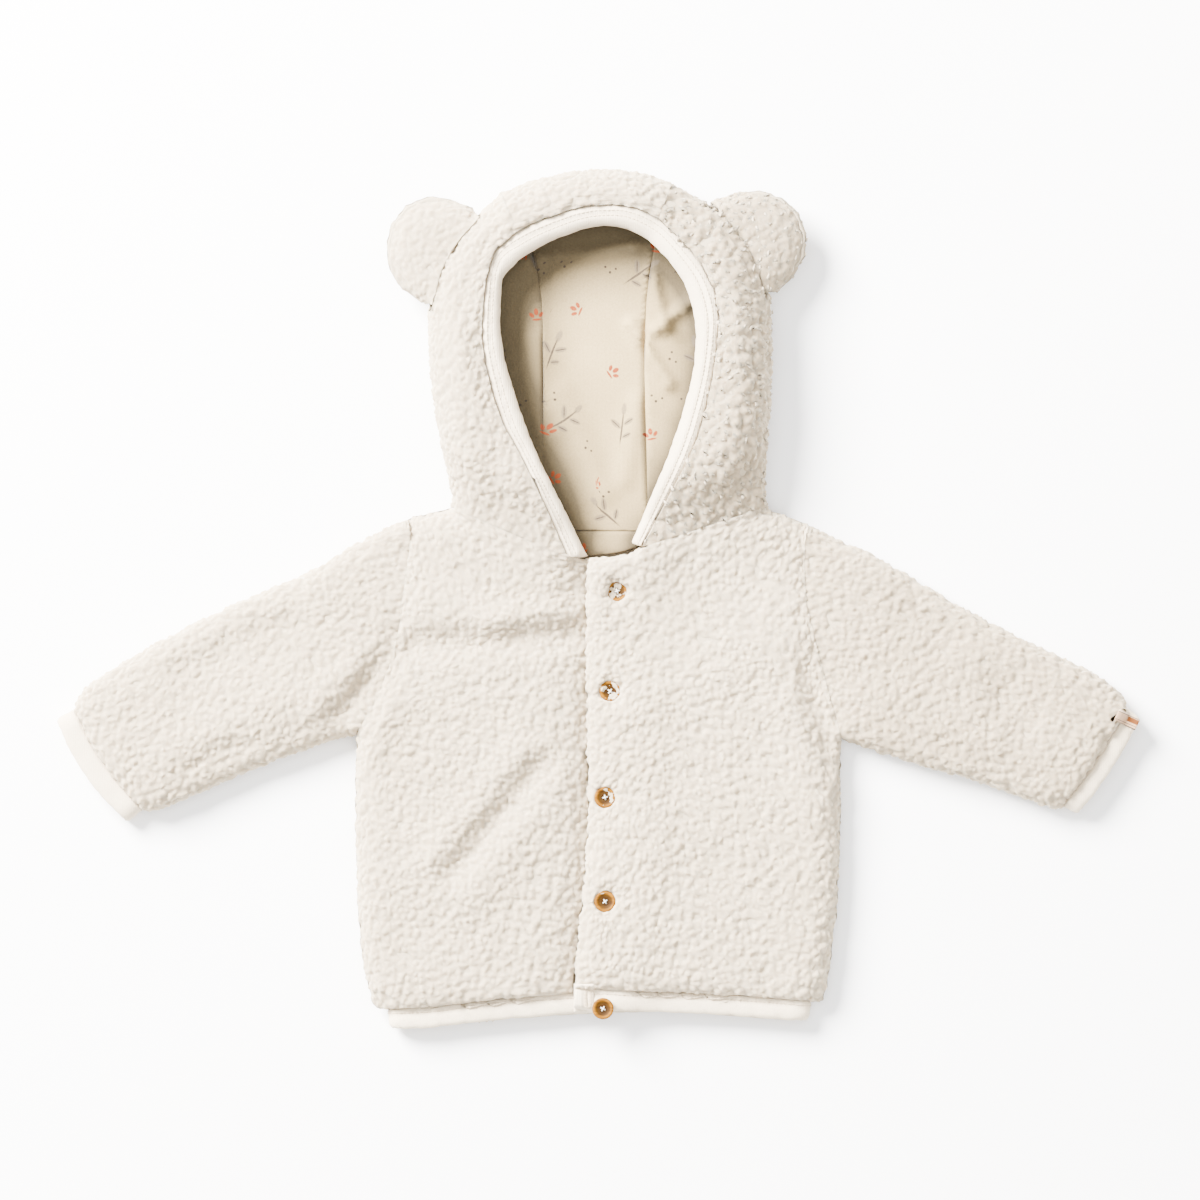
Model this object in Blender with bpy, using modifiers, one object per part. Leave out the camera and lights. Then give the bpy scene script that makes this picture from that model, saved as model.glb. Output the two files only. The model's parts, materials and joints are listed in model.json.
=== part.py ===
"""A baby's hooded sherpa jacket with bear ears, buttoned and laid flat on its back.

Left and right are the wearer's. Sizes are in millimetres until a mesh is made. +X is the viewer's
right, +Y runs from the hem to the hood, +Z is up from the surface that the jacket lies on.

The laid jacket is thought of as two skins over one plan: an upper one and a lower one, which meet at
the fold edges (the sides, the sleeves' two long edges, the shoulders and the hood's outline). skin()
gives a point of either skin and its outward direction, and every panel is a grid of such points with
its wall turned inwards.
"""

import math

import bmesh
import bpy
import numpy as np

NAME = "sherpa_jacket"
MM = 0.001

# Cloth and seams
WALL = 9.5  # sherpa: pile, knitted backing and the jersey behind it
LINING_WALL = 1.1
LINING_CLEARANCE = 0.7
SEAM = 0.3
LAYER_CLEARANCE = 0.5

# The laid body and sleeves
BODY_HEIGHT = 21.3
BODY_CROWN = 1.5
CROWN_REACH = 45.0
BODY_MIDDLE = 10.5  # height of the fold edge, where the two skins meet
BODY_ROUND = 11.0  # how far in from the fold edge the cloth turns over

# The hood, which stands up round its opening
HOOD_HEIGHT = 46.0
HOOD_MIDDLE = 18.0
HOOD_ROUND_TOP = 24.0
HOOD_ROUND_BOTTOM = 16.0
HOOD_RISE_REACH = 35.0
HOOD_EDGE_DROOP = 4.0
HOOD_DROOP_REACH = 18.0
HOOD_FLOOR_REACH = 24.0  # from the outline in to where the floor of the hood is flat
HOOD_EDGE_DROP = 1.5  # the pile rounds over at the binding
NECK_BUMP = 5.0  # the seam allowances and the layers under them
NECK_BUMP_MIDDLE = 2.5
NECK_BUMP_REACH = 22.0
NECK_BUMP_ROUND = 3.0

# Cut edges, where the pile rounds over
EDGE_DROP = 4.0
EDGE_REACH = 7.0

# Button stand: the left front lies on the right one
UNDERLAP = 25.5
UNDERLAP_TOP = 15.8
UNDERLAP_EDGE_DROP = 2.0
OVERLAP_LIFT = 2.4
OVERLAP_SPARE = 12.0
DIP_REACH = 12.0
DIP_SPARE = 1.8

# Bindings
BAND_HALF = 2.0
BAND_TOP_Z = 13.4
BAND_BOTTOM_Z = 2.0
BAND_OVERLAP_Z = 18.4
BAND_UNDERLAP_Z = 12.4
BAND_INSET = 5.0  # the folded band stops this far short of the fold edge
BAND_SEAM = 0.6
HEM_BAND = 11.0
CUFF_BAND = {"right": 12.0, "left": 9.5}

# Buttons and tab
BUTTON_ACROSS = 12.5
BUTTON_THICK = 3.0
BUTTON_HOLE = 1.1
BUTTON_HOLE_OFF = 1.55
POCKET_SPARE = 0.35
POCKET_FLOOR = 20.7
TAB_THICK = 0.8
TAB_CLEARANCE = 0.5

# Ears
EAR_HALF = 7.0
EAR_RIM_HALF = 1.0
EAR_ROUND = 10.0
EAR_ROOT_Z = 24.0
EAR_TIP_Z = 20.0
EAR_SEAM = 0.5

# Outlines, as (x, y). Each runs clockwise round the jacket as seen from above.
SIDE = {
    "right": [(-128.8, -238.4), (-133.4, -230.8), (-138.0, -208.8), (-140.9, -174.0), (-142.1, -127.6), (-141.5, -78.3)],
    "left": [(128.2, -234.3), (131.3, -227.4), (134.6, -203.0), (138.0, -174.0), (139.8, -127.6), (139.8, -81.2)],
}
SLEEVE_LOWER = {
    "right": [(-141.5, -78.3), (-156.6, -83.5), (-179.8, -91.6), (-208.8, -102.7), (-237.8, -115.5), (-261.6, -125.9)],
    "left": [(139.8, -81.2), (155.4, -87.6), (174.6, -94.0), (196.0, -100.3), (214.6, -105.0), (237.8, -113.1), (265.6, -124.1)],
}
SLEEVE_UPPER = {
    "right": [(-111.4, 47.6), (-127.0, 42.3), (-145.0, 32.5), (-161.2, 21.5), (-177.5, 12.8), (-201.8, 3.5),
              (-226.2, -8.1), (-250.6, -20.3), (-274.9, -34.2), (-299.3, -49.9), (-308.0, -58.6)],
    "left": [(120.6, 43.5), (131.1, 38.9), (147.3, 32.5), (163.6, 24.9), (183.9, 12.2), (212.3, -4.6),
             (244.8, -21.5), (277.2, -36.5), (298.1, -48.7), (308.6, -58.0)],
}
ARMHOLE = {
    "right": [(-111.4, 47.6), (-110.0, 31.9), (-114.8, -0.6), (-121.8, -38.9), (-141.5, -78.3)],
    "left": [(120.6, 43.5), (118.5, 30.0), (119.5, 0.0), (127.6, -35.4), (139.8, -81.2)],
}
CUFF_BOW = {"right": 5.0, "left": 2.5}  # how far the sherpa's cuff edge bows outwards
NECK_POINT = {"right": (-86.4, 53.4), "left": (96.9, 53.9)}
HOOD_OUTLINE = [
    (-86.4, 53.4), (-88.2, 69.6), (-93.0, 89.9), (-97.4, 113.1), (-100.3, 145.0), (-99.8, 168.2), (-94.5, 191.4),
    (-84.1, 210.0), (-69.6, 225.0), (-58.0, 236.1), (-36.5, 245.3), (-17.4, 248.8), (1.7, 250.6), (23.2, 249.5),
    (41.8, 241.9), (58.0, 232.6), (72.5, 225.0), (85.8, 210.0), (94.0, 194.3), (98.6, 178.1), (100.3, 145.0),
    (99.2, 116.0), (97.4, 92.8), (96.3, 72.5), (96.9, 53.9),
]
OPENING = [
    (-19.1, 24.3), (-33.1, 56.3), (-48.1, 87.0), (-59.2, 108.5), (-67.9, 145.0), (-67.9, 168.0), (-66.1, 186.2),
    (-62.5, 199.5), (-54.0, 208.8), (-41.8, 216.3), (-23.2, 223.5), (-10.0, 227.4), (3.0, 228.5), (18.0, 227.5),
    (34.2, 220.5), (48.1, 207.1), (61.5, 189.7), (68.4, 171.1), (68.4, 152.5), (63.8, 121.8), (53.9, 87.0),
    (36.5, 52.2), (24.9, 30.4),
]
OPENING_INNER = [
    (-7.0, 24.9), (-18.0, 48.1), (-37.1, 87.0), (-48.1, 117.7), (-56.3, 146.7), (-57.0, 167.0), (-56.3, 187.3),
    (-52.0, 193.5), (-46.4, 196.0), (-31.0, 205.3), (-9.3, 214.0), (2.0, 215.8), (10.0, 215.6), (18.6, 212.9),
    (31.9, 204.7), (44.1, 189.7), (51.6, 175.7), (55.1, 152.5), (52.2, 125.9), (42.3, 92.8), (30.7, 63.8), (17.4, 31.3),
]
GUSSET_OUTLINE = {"right": (-58.0, 236.1), "left": (41.8, 241.9)}  # where the centre strip's seams cross
GUSSET_OPENING = {"right": (-48.0, 213.0), "left": (34.2, 220.5)}
GUSSET_FLOOR = {
    "right": [(-33.1, 40.0), (-33.1, 90.0), (-33.1, 140.0), (-35.0, 182.0), (-45.0, 216.0)],
    "left": [(28.0, 40.0), (27.0, 90.0), (26.0, 140.0), (28.0, 182.0), (34.0, 218.0)],
}
V_CORNER = {"right": (18.6, 23.2), "left": (-5.8, 24.2)}  # top of each front's centre edge
NECK_BEND = {"right": (-19.1, 24.1), "left": (24.9, 30.2)}  # where the hood's front edge is sewn on
OVER_NECK = (15.7, 26.7)
BACK_LINING_LOW = [(-18.6, 25.0), (-6.0, 25.2), (14.8, 27.9), (24.0, 31.2)]
BACK_LINING_HIGH = [(-31.0, 39.6), (-8.0, 39.6), (12.0, 39.6), (26.5, 39.6)]
PLACKET = [(-14.5, -224.5), (-9.3, -174.0), (-5.8, -127.0), (-7.0, -58.0), (-7.0, 0.0), (-5.8, 24.2)]
HEM = {
    "right": [(-128.8, -238.4), (-98.6, -237.2), (-75.4, -234.3), (-46.4, -231.4), (-16.8, -229.1), (11.0, -228.0)],
    "left": [(128.2, -234.3), (92.8, -231.3), (58.0, -229.0), (18.6, -227.6), (0.0, -226.6), (-14.5, -224.5)],
}
BACK_HEM = [(-128.8, -238.4), (-98.6, -237.2), (-75.4, -234.3), (-16.8, -229.1), (40.0, -228.2), (92.8, -231.3), (128.2, -234.3)]
EAR_OUTLINE = {
    "right": [(-103.2, 172.5), (-111.5, 177.0), (-117.5, 183.0), (-122.0, 191.5), (-124.2, 202.0), (-123.0, 213.0),
              (-118.0, 222.6), (-110.0, 230.4), (-100.3, 233.8), (-91.0, 233.2), (-81.5, 230.5), (-74.0, 227.0)],
    "left": [(102.8, 178.0), (109.5, 185.0), (115.0, 191.5), (119.0, 200.0), (120.0, 209.0), (118.0, 219.0),
             (112.5, 227.5), (104.0, 234.0), (94.0, 237.2), (84.0, 237.0), (74.5, 234.8), (67.0, 231.5)],
}
EAR_ROOT = {"right": ((-98.9, 172.5), (-71.0, 223.6)), "left": ((98.9, 176.5), (64.0, 229.4))}

# Folds and creases of the upper skin. Ridges have a positive height, troughs a negative one.
FOLD_COLUMNS = ("x0", "y0", "x1", "y1", "width", "height")
BODY_FOLDS = [
    (-10.0, -7.0, -62.0, -13.0, 9.0, 4.5),  # ridge below the right collarbone
    (-20.0, -19.0, -112.0, -27.0, 9.5, -5.0),  # its trough
    (-62.0, -13.0, -108.0, -6.0, 14.0, 2.0),
    (-36.0, -97.0, -84.0, -155.0, 8.0, -4.5),  # slanting crease
    (-44.0, -88.0, -96.0, -150.0, 10.0, 3.0),
    (-24.0, -108.0, -76.0, -172.0, 12.0, 2.0),
    (-128.0, -42.0, -152.0, -70.0, 7.0, -5.0),  # right underarm
    (-140.0, -34.0, -165.0, -62.0, 9.0, 3.0),
    (-120.0, -60.0, -138.0, -92.0, 9.0, 2.5),
    (122.0, -40.0, 137.0, -92.0, 8.0, -4.5),  # left underarm
    (108.0, -60.0, 124.0, -120.0, 12.0, 2.0),
    (60.0, -150.0, 100.0, -215.0, 16.0, -2.0),
    (25.0, -60.0, 110.0, -20.0, 20.0, 1.5),
    (-110.0, -190.0, -60.0, -215.0, 15.0, -1.5),
    (186.0, -5.0, 200.0, -18.0, 12.0, -3.0),  # dimples of the left sleeve
    (232.0, -52.0, 246.0, -66.0, 12.0, -4.0),
    (165.0, -55.0, 225.0, -82.0, 12.0, 2.0),
    (-190.0, -20.0, -236.0, -44.0, 16.0, -2.5),  # long soft hollow of the right sleeve
    (-180.0, -55.0, -250.0, -92.0, 12.0, 2.0),
    (-205.0, -88.0, -236.0, -100.0, 9.0, -2.5),
]
HOOD_FOLDS = [
    (-84.0, 110.0, -62.0, 82.0, 9.0, -3.5),  # dents where the hood's sides bend
    (-80.0, 175.0, -62.0, 205.0, 10.0, -3.0),
    (-88.0, 140.0, -78.0, 90.0, 14.0, 2.0),
    (52.0, 236.0, 40.0, 218.0, 8.0, -4.5),
    (76.0, 190.0, 84.0, 140.0, 14.0, 3.0),
    (84.0, 110.0, 62.0, 70.0, 14.0, 3.5),
    (-30.0, 240.0, 20.0, 242.0, 10.0, 2.0),
]
ARMHOLE_GROOVE = -2.0
ARMHOLE_GROOVE_WIDTH = 4.0

BUTTONS = [(9.9, 5.2), (5.8, -52.8), (2.9, -114.3), (2.9, -174.6), (1.7, -236.6)]

# Grid stations. Turn is where a skin turns over at a fold edge, as a share of the round.
TURN_STEPS = 3
SIDE_START = (0.0, 2.5, 7.0)
SIDE_ROWS = 10
ARMHOLE_MIDDLE_ROWS = 6
CENTRE_ROWS = 13
OVER_U = (0, 0.0105, 0.039, 0.08, 0.17, 0.27, 0.37, 0.47, 0.57, 0.66, 0.74, 0.81, 0.88, 0.95, 1)
BACK_NECK_FADE = 40.0
UNDER_U = (0, 0.009, 0.034, 0.07, 0.15, 0.25, 0.35, 0.45, 0.55, 0.65, 0.745, 0.80, 0.86, 0.95, 1)
DIP_U = 0.80
DIP_LIMIT = 0.93
BACK_FLAT_COLUMNS = 4
SLEEVE_RINGS = 10
CUFF_SHARES = (0.965, 0.988, 1.0)
HOOD_ROWS = 12
HOOD_FLAT_STEPS = 4
HOOD_TURN_SHARE = 0.75
GUSSET_COLUMNS = 6
EAR_COLUMNS = 8
EAR_OUT = (0, 0.15, 0.4, 0.65, 0.86, 1.0)

COLOURS = {
    "sherpa": ((0.86, 0.83, 0.78), 0.95),
    "jersey": ((0.88, 0.85, 0.79), 0.85),
    "print": ((0.84, 0.79, 0.70), 0.85),
    "wood": ((0.58, 0.26, 0.08), 0.45),
    "ribbon": ((0.85, 0.62, 0.46), 0.7),
}


# ---------------------------------------------------------------- paths in plan

def smooth_path(points, steps=8):
    """A Catmull-Rom curve through the points, as many short chords."""
    p = np.array(points, float)
    p = np.vstack([2 * p[0] - p[1], p, 2 * p[-1] - p[-2]])
    t = np.linspace(0, 1, steps, endpoint=False)[:, None]
    spans = []
    for a, b, c, d in zip(p[:-3], p[1:-2], p[2:-1], p[3:]):
        spans.append(0.5 * (2 * b + (c - a) * t + (2 * a - 5 * b + 4 * c - d) * t**2 + (3 * b - a - 3 * c + d) * t**3))
    return np.vstack(spans + [p[-2:-1]])


def arc_lengths(path):
    return np.concatenate([[0.0], np.cumsum(np.linalg.norm(np.diff(path, axis=0), axis=1))])


def length_of(path):
    return arc_lengths(path)[-1]


def at_distances(path, distances):
    """Points at these distances along the path."""
    lengths = arc_lengths(path)
    return np.stack([np.interp(distances, lengths, path[:, k]) for k in range(path.shape[1])], axis=1)


def at_shares(path, shares):
    return at_distances(path, np.asarray(shares) * length_of(path))


def share_nearest(path, point):
    """How far along the path, as a share of it, its nearest vertex to the point lies."""
    nearest = np.argmin(np.linalg.norm(path - np.array(point), axis=1))
    return arc_lengths(path)[nearest] / length_of(path)


def between(path, start, end):
    """The stretch of a path between two points on it."""
    shares = np.linspace(share_nearest(path, start), share_nearest(path, end), 40)
    return at_shares(path, shares)


def bow_of(path, shares):
    """How far the path stands off the straight line between its ends, at these shares of it."""
    shares = np.asarray(shares)
    straight = path[0] + (path[-1] - path[0]) * shares[:, None]
    return at_shares(path, shares) - straight


def nearest_on(plan, path):
    """Distance from each plan point to a path, and the nearest point of the path."""
    flat = plan.reshape(-1, 2)
    start, run = path[:-1], np.diff(path, axis=0)
    size = np.maximum((run**2).sum(axis=1), 1e-12)
    share = np.clip(((flat[:, None] - start) * run).sum(axis=2) / size, 0, 1)
    foot = start + share[..., None] * run
    gap = np.linalg.norm(flat[:, None] - foot, axis=2)
    best = gap.argmin(axis=1)
    rows = np.arange(len(flat))
    return gap[rows, best].reshape(plan.shape[:-1]), foot[rows, best].reshape(plan.shape), best.reshape(plan.shape[:-1])


def unit(vector):
    return vector / np.linalg.norm(vector)


def ease(value):
    value = np.clip(value, 0, 1)
    return value * value * (3 - 2 * value)


SIDE_PATH = {side: smooth_path(points) for side, points in SIDE.items()}
LOWER_PATH = {side: smooth_path(points) for side, points in SLEEVE_LOWER.items()}
UPPER_PATH = {side: smooth_path(points) for side, points in SLEEVE_UPPER.items()}
ARMHOLE_PATH = {side: smooth_path(points) for side, points in ARMHOLE.items()}
HEM_PATH = {side: smooth_path(points) for side, points in HEM.items()}
BACK_HEM_PATH = smooth_path(BACK_HEM)
SHOULDER = {side: np.array([SLEEVE_UPPER[side][0], NECK_POINT[side]]) for side in ("right", "left")}
HOOD_PATH = smooth_path(HOOD_OUTLINE)
OPENING_PATH = smooth_path(OPENING)
OPENING_INNER_PATH = smooth_path(OPENING_INNER)
PLACKET_PATH = smooth_path(PLACKET)
NECK_LINE = np.array([NECK_POINT["right"], NECK_BEND["right"], V_CORNER["left"], OVER_NECK, NECK_BEND["left"], NECK_POINT["left"]])
BACK_NECK = np.array([NECK_POINT["right"], GUSSET_FLOOR["right"][0], GUSSET_FLOOR["left"][0], NECK_POINT["left"]])


def cuff_path(side):
    """The sherpa's edge at the cuff, from the sleeve's upper fold edge to its lower one."""
    top, bottom = UPPER_PATH[side][-1], LOWER_PATH[side][-1]
    share = np.linspace(0, 1, 25)[:, None]
    across = (bottom - top) / np.linalg.norm(bottom - top)
    out = np.array([across[1], -across[0]]) * (1 if side == "right" else -1)
    return top + (bottom - top) * share + out * CUFF_BOW[side] * np.sin(math.pi * share)


CUFF_PATH = {side: cuff_path(side) for side in ("right", "left")}

# The fold edges, clockwise, so that the cloth lies on their right-hand side.
FOLD_EDGES = [
    np.vstack([SIDE_PATH["right"], LOWER_PATH["right"][1:]]),
    np.vstack([UPPER_PATH["right"][::-1], SHOULDER["right"][1:], HOOD_PATH[1:], SHOULDER["left"][:1], UPPER_PATH["left"][1:]]),
    np.vstack([LOWER_PATH["left"][::-1], SIDE_PATH["left"][::-1][1:]]),
]


ON_EDGE = 0.4


def to_fold_edge(plan):
    """Distance from each plan point to the nearest fold edge, and the outward direction there."""
    best = np.full(plan.shape[:-1], np.inf)
    outward = np.zeros(plan.shape)
    for path in FOLD_EDGES:
        gap, foot, segment = nearest_on(plan, path)
        run = np.diff(path, axis=0)
        normal = np.stack([-run[:, 1], run[:, 0]], axis=1)
        normal /= np.linalg.norm(normal, axis=1)[:, None]
        on_edge = (gap < ON_EDGE)[..., None]
        direction = np.where(on_edge, normal[segment], (foot - plan) / np.maximum(gap, 1e-9)[..., None])
        nearer = gap < best
        best = np.where(nearer, gap, best)
        outward = np.where(nearer[..., None], direction, outward)
    return best, outward


# ---------------------------------------------------------------- the two skins

def fold_heights(plan, folds):
    """The sum of the folds in a table with FOLD_COLUMNS."""
    total = np.zeros(plan.shape[:-1])
    for fold in folds:
        row = dict(zip(FOLD_COLUMNS, fold))
        path = np.array([(row["x0"], row["y0"]), (row["x1"], row["y1"])])
        gap, _, _ = nearest_on(plan, path)
        total += row["height"] * np.exp(-((gap / row["width"]) ** 2))
    return total


def armhole_grooves(plan):
    inset, _ = to_fold_edge(plan)
    total = np.zeros(plan.shape[:-1])
    for path in ARMHOLE_PATH.values():
        gap, _, _ = nearest_on(plan, path)
        total += ARMHOLE_GROOVE * np.exp(-((gap / ARMHOLE_GROOVE_WIDTH) ** 2))
    return total * ease(inset / BODY_ROUND)


def heights(plan, hood):
    """The upper skin's height clear of the fold edges, and the height of the fold edge itself."""
    inset, _ = to_fold_edge(plan)
    neck_gap, _, _ = nearest_on(plan, NECK_LINE)
    bump = np.exp(-((neck_gap / NECK_BUMP_REACH) ** 2))
    crown = BODY_CROWN * (1 - np.exp(-((inset / CROWN_REACH) ** 2)))
    body = BODY_HEIGHT + crown + NECK_BUMP * bump
    middle = BODY_MIDDLE + NECK_BUMP_MIDDLE * bump
    if not hood:
        return body, middle
    rise = ease(neck_gap / HOOD_RISE_REACH)
    edge_gap, _, _ = nearest_on(plan, OPENING_PATH)
    droop = HOOD_EDGE_DROOP * np.exp(-((edge_gap / HOOD_DROOP_REACH) ** 2))
    full = HOOD_HEIGHT - droop
    return body + rise * (full - body), middle + rise * (HOOD_MIDDLE - middle)


def rounds(plan, hood):
    """How far in from the fold edge the upper and the lower skin turn over."""
    neck_gap, _, _ = nearest_on(plan, NECK_LINE)
    upper = BODY_ROUND + NECK_BUMP_ROUND * np.exp(-((neck_gap / NECK_BUMP_REACH) ** 2))
    lower = upper.copy()
    if hood:
        rise = ease(neck_gap / HOOD_RISE_REACH)
        upper = upper + rise * (HOOD_ROUND_TOP - upper)
        lower = lower + rise * (HOOD_ROUND_BOTTOM - lower)
    return upper, lower


def slopes(function, plan):
    """The slope of each of a function's results along X and Y."""
    step = 0.5
    pairs = []
    for axis in (0, 1):
        move = np.zeros(2)
        move[axis] = step
        ahead, behind = function(plan + move), function(plan - move)
        pairs.append([(a - b) / (2 * step) for a, b in zip(ahead, behind)])
    return [np.stack([x, y], axis=-1) for x, y in zip(*pairs)]


def skin(plan, upper, hood=False):
    """Points of the upper or lower skin over the plan, and their outward directions.

    From the fold edge inwards a skin follows a quarter of an ellipse and then its own height.
    """
    inset, outward = to_fold_edge(plan)
    height, middle = heights(plan, hood)
    round_upper, round_lower = rounds(plan, hood)
    reach = round_upper if upper else round_lower
    left = 1 - np.clip(inset / reach, 0, 1)
    left = np.where(inset < ON_EDGE / 4, 1.0, left)
    lift = np.sqrt(np.maximum(1 - left**2, 0))
    rise = height - middle if upper else middle
    sideways = (rise * left / reach)[..., None] * outward
    if hood:
        slope_height, slope_middle = slopes(lambda p: heights(p, hood), plan)
        sign = -1 if upper else 1
        sideways = sideways + sign * (lift * (1 - lift))[..., None] * slope_middle
        if upper:
            sideways = sideways - (lift * lift)[..., None] * slope_height
    sign = 1 if upper else -1
    normal = np.concatenate([sideways, sign * lift[..., None]], axis=-1)
    normal /= np.linalg.norm(normal, axis=-1)[..., None]
    return np.concatenate([plan, (middle + sign * rise * lift)[..., None]], axis=-1), normal


def folds_at(plan, hood=False):
    """The upper skin's folds, which die out where the cloth turns over."""
    inset, _ = to_fold_edge(plan)
    folds = fold_heights(plan, BODY_FOLDS)
    if hood:
        neck_gap, _, _ = nearest_on(plan, NECK_LINE)
        rise = ease(neck_gap / HOOD_RISE_REACH)
        folds = folds + rise * (fold_heights(plan, HOOD_FOLDS) - folds)
    return folds * ease(inset / BODY_ROUND)


def held_to_seam(normal, plan, seam):
    """Turns the directions along a seam into the seam's own upright sheet, so that walls meet flush there."""
    run = np.gradient(plan[seam], axis=0)
    run /= np.linalg.norm(run, axis=-1, keepdims=True)
    along = (normal[seam][..., :2] * run).sum(axis=-1, keepdims=True)
    normal[seam] = np.concatenate([run * along, normal[seam][..., 2:]], axis=-1)


def edge_drop(plan, edges, amount=EDGE_DROP):
    """How much lower the pile is where it rounds over a cut edge."""
    inset, _ = to_fold_edge(plan)
    drop = np.zeros(plan.shape[:-1])
    for path in edges:
        gap, _, _ = nearest_on(plan, path)
        left = 1 - np.clip(gap / EDGE_REACH, 0, 1)
        drop = np.maximum(drop, amount * (1 - np.sqrt(1 - left**2)))
    return drop * ease(inset / BODY_ROUND)


def raised(points, lift):
    return points + np.stack([np.zeros_like(lift), np.zeros_like(lift), lift], axis=-1)


def kept_above(points, floor):
    return np.concatenate([points[..., :2], np.maximum(points[..., 2:], floor[..., None])], axis=-1)


# ---------------------------------------------------------------- Blender meshes

def new_collection(name):
    collection = bpy.data.collections.new(name)
    bpy.context.scene.collection.children.link(collection)
    return collection


def material(name):
    """A Principled material of one of the COLOURS."""
    if name in bpy.data.materials:
        return bpy.data.materials[name]
    made = bpy.data.materials.new(name)
    made.use_nodes = True
    colour, roughness = COLOURS[name]
    shader = made.node_tree.nodes["Principled BSDF"]
    shader.inputs["Base Color"].default_value = (*colour, 1)
    shader.inputs["Roughness"].default_value = roughness
    shader.inputs["Metallic"].default_value = 0
    made.diffuse_color = (*colour, 1)
    return made


def new_object(name, mesh, slot, collection):
    mesh.materials.append(material(slot))
    made = bpy.data.objects.new(name, mesh)
    collection.objects.link(made)
    return made


def shorter_diagonals(points, closed):
    """For each cell of a grid, whether the diagonal from its first corner is the shorter one."""
    nearer = np.concatenate([points, points[:, :1]], axis=1) if closed else points
    first = np.linalg.norm(nearer[1:, 1:] - nearer[:-1, :-1], axis=-1)
    second = np.linalg.norm(nearer[1:, :-1] - nearer[:-1, 1:], axis=-1)
    return first <= second


def grid_faces(columns, start, from_first, flip):
    """Triangles over a grid of vertices, split along the diagonals that from_first picks."""
    faces = []
    for i, row in enumerate(from_first):
        for j, picked in enumerate(row):
            k = (j + 1) % columns
            a, b = start + i * columns + j, start + i * columns + k
            c, d = start + (i + 1) * columns + k, start + (i + 1) * columns + j
            pair = ((a, b, c), (a, c, d)) if picked else ((a, b, d), (b, c, d))
            faces += [face[::-1] if flip else face for face in pair]
    return faces


def rim_faces(pairs, count, flip):
    """The edge of a wall: each pair of outer vertices joined to the inner pair under them."""
    faces = []
    for a, b in pairs:
        for face in ((a, b, b + count), (a, b + count, a + count)):
            faces.append(face[::-1] if flip else face)
    return faces


def wall(name, outer, inner, slot, collection, closed=False, shape=None):
    """A closed solid between two grids of points: a panel, or with closed a tube open at both ends.

    shape is the grid that picks the diagonals, where two walls have to follow each other.
    """
    rows, columns = outer.shape[:2]
    count = rows * columns
    picks = shorter_diagonals(outer if shape is None else shape, closed)
    faces = grid_faces(columns, 0, picks, False) + grid_faces(columns, count, picks, True)
    for i, flip in ((0, True), (rows - 1, False)):
        steps = columns if closed else columns - 1
        pairs = [(i * columns + j, i * columns + (j + 1) % columns) for j in range(steps)]
        faces += rim_faces(pairs, count, flip)
    if not closed:
        for j, flip in ((0, False), (columns - 1, True)):
            pairs = [(i * columns + j, (i + 1) * columns + j) for i in range(rows - 1)]
            faces += rim_faces(pairs, count, flip)
    points = np.vstack([outer.reshape(-1, 3), inner.reshape(-1, 3)]) * MM
    return solid(name, points, faces, slot, collection)


def strip(name, rings, slot, collection, closed=False):
    """A closed solid lofted through rings of points. closed joins the last ring to the first."""
    count, around = rings.shape[:2]
    faces = []
    for i in range(count if closed else count - 1):
        for j in range(around):
            k = (j + 1) % around
            n = (i + 1) % count
            faces.append((i * around + j, i * around + k, n * around + k, n * around + j))
    if not closed:
        faces.append(tuple(range(around))[::-1])
        faces.append(tuple((count - 1) * around + j for j in range(around)))
    return solid(name, rings.reshape(-1, 3) * MM, faces, slot, collection)


def solid(name, points, faces, slot, collection):
    mesh = bpy.data.meshes.new(name)
    mesh.from_pydata(points.tolist(), [], faces)
    shape = bmesh.new()
    shape.from_mesh(mesh)
    bmesh.ops.recalc_face_normals(shape, faces=shape.faces)
    if shape.calc_volume(signed=True) < 0:
        bmesh.ops.reverse_faces(shape, faces=shape.faces)
    shape.to_mesh(mesh)
    shape.free()
    mesh.shade_smooth()
    return new_object(name, mesh, slot, collection)


def turned(name, profile, sides, slot, collection):
    """A profile of (radius, height) turned about Z with a Screw."""
    mesh = bpy.data.meshes.new(name)
    points = [(radius * MM, 0, height * MM) for radius, height in profile]
    mesh.from_pydata(points, [(i, i + 1) for i in range(len(points) - 1)], [])
    made = new_object(name, mesh, slot, collection)
    screw = made.modifiers.new("turn", "SCREW")
    screw.steps = sides
    screw.render_steps = sides
    screw.use_merge_vertices = True
    screw.merge_threshold = 1e-6
    screw.use_normal_calculate = True
    return made


def cylinder_cutter(name, radius, low, high, sides, collection):
    bpy.ops.mesh.primitive_cylinder_add(vertices=sides, radius=radius * MM, depth=(high - low) * MM)
    made = bpy.context.object
    made.name = name
    made.location.z = (high + low) / 2 * MM
    for owner in list(made.users_collection):
        owner.objects.unlink(made)
    collection.objects.link(made)
    made.hide_render = True
    made.display_type = "WIRE"
    return made


def cut(target, cutter):
    boolean = target.modifiers.new(cutter.name, "BOOLEAN")
    boolean.operation = "DIFFERENCE"
    boolean.solver = "EXACT"
    boolean.object = cutter


# ---------------------------------------------------------------- stations

def turn_distances(reach):
    """Distances from the fold edge that step evenly round the turn."""
    angles = np.linspace(0, math.pi / 2, TURN_STEPS + 1)
    return reach * (1 - np.cos(angles))


def armhole_distances(side):
    """Along the armhole, from the underarm to the shoulder tip, fine where the cloth turns over."""
    whole = length_of(ARMHOLE_PATH[side])
    turn = turn_distances(BODY_ROUND)
    middle = np.linspace(BODY_ROUND, whole - BODY_ROUND, ARMHOLE_MIDDLE_ROWS + 1)
    return np.concatenate([turn, middle[1:-1], (whole - turn)[::-1]])


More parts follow.
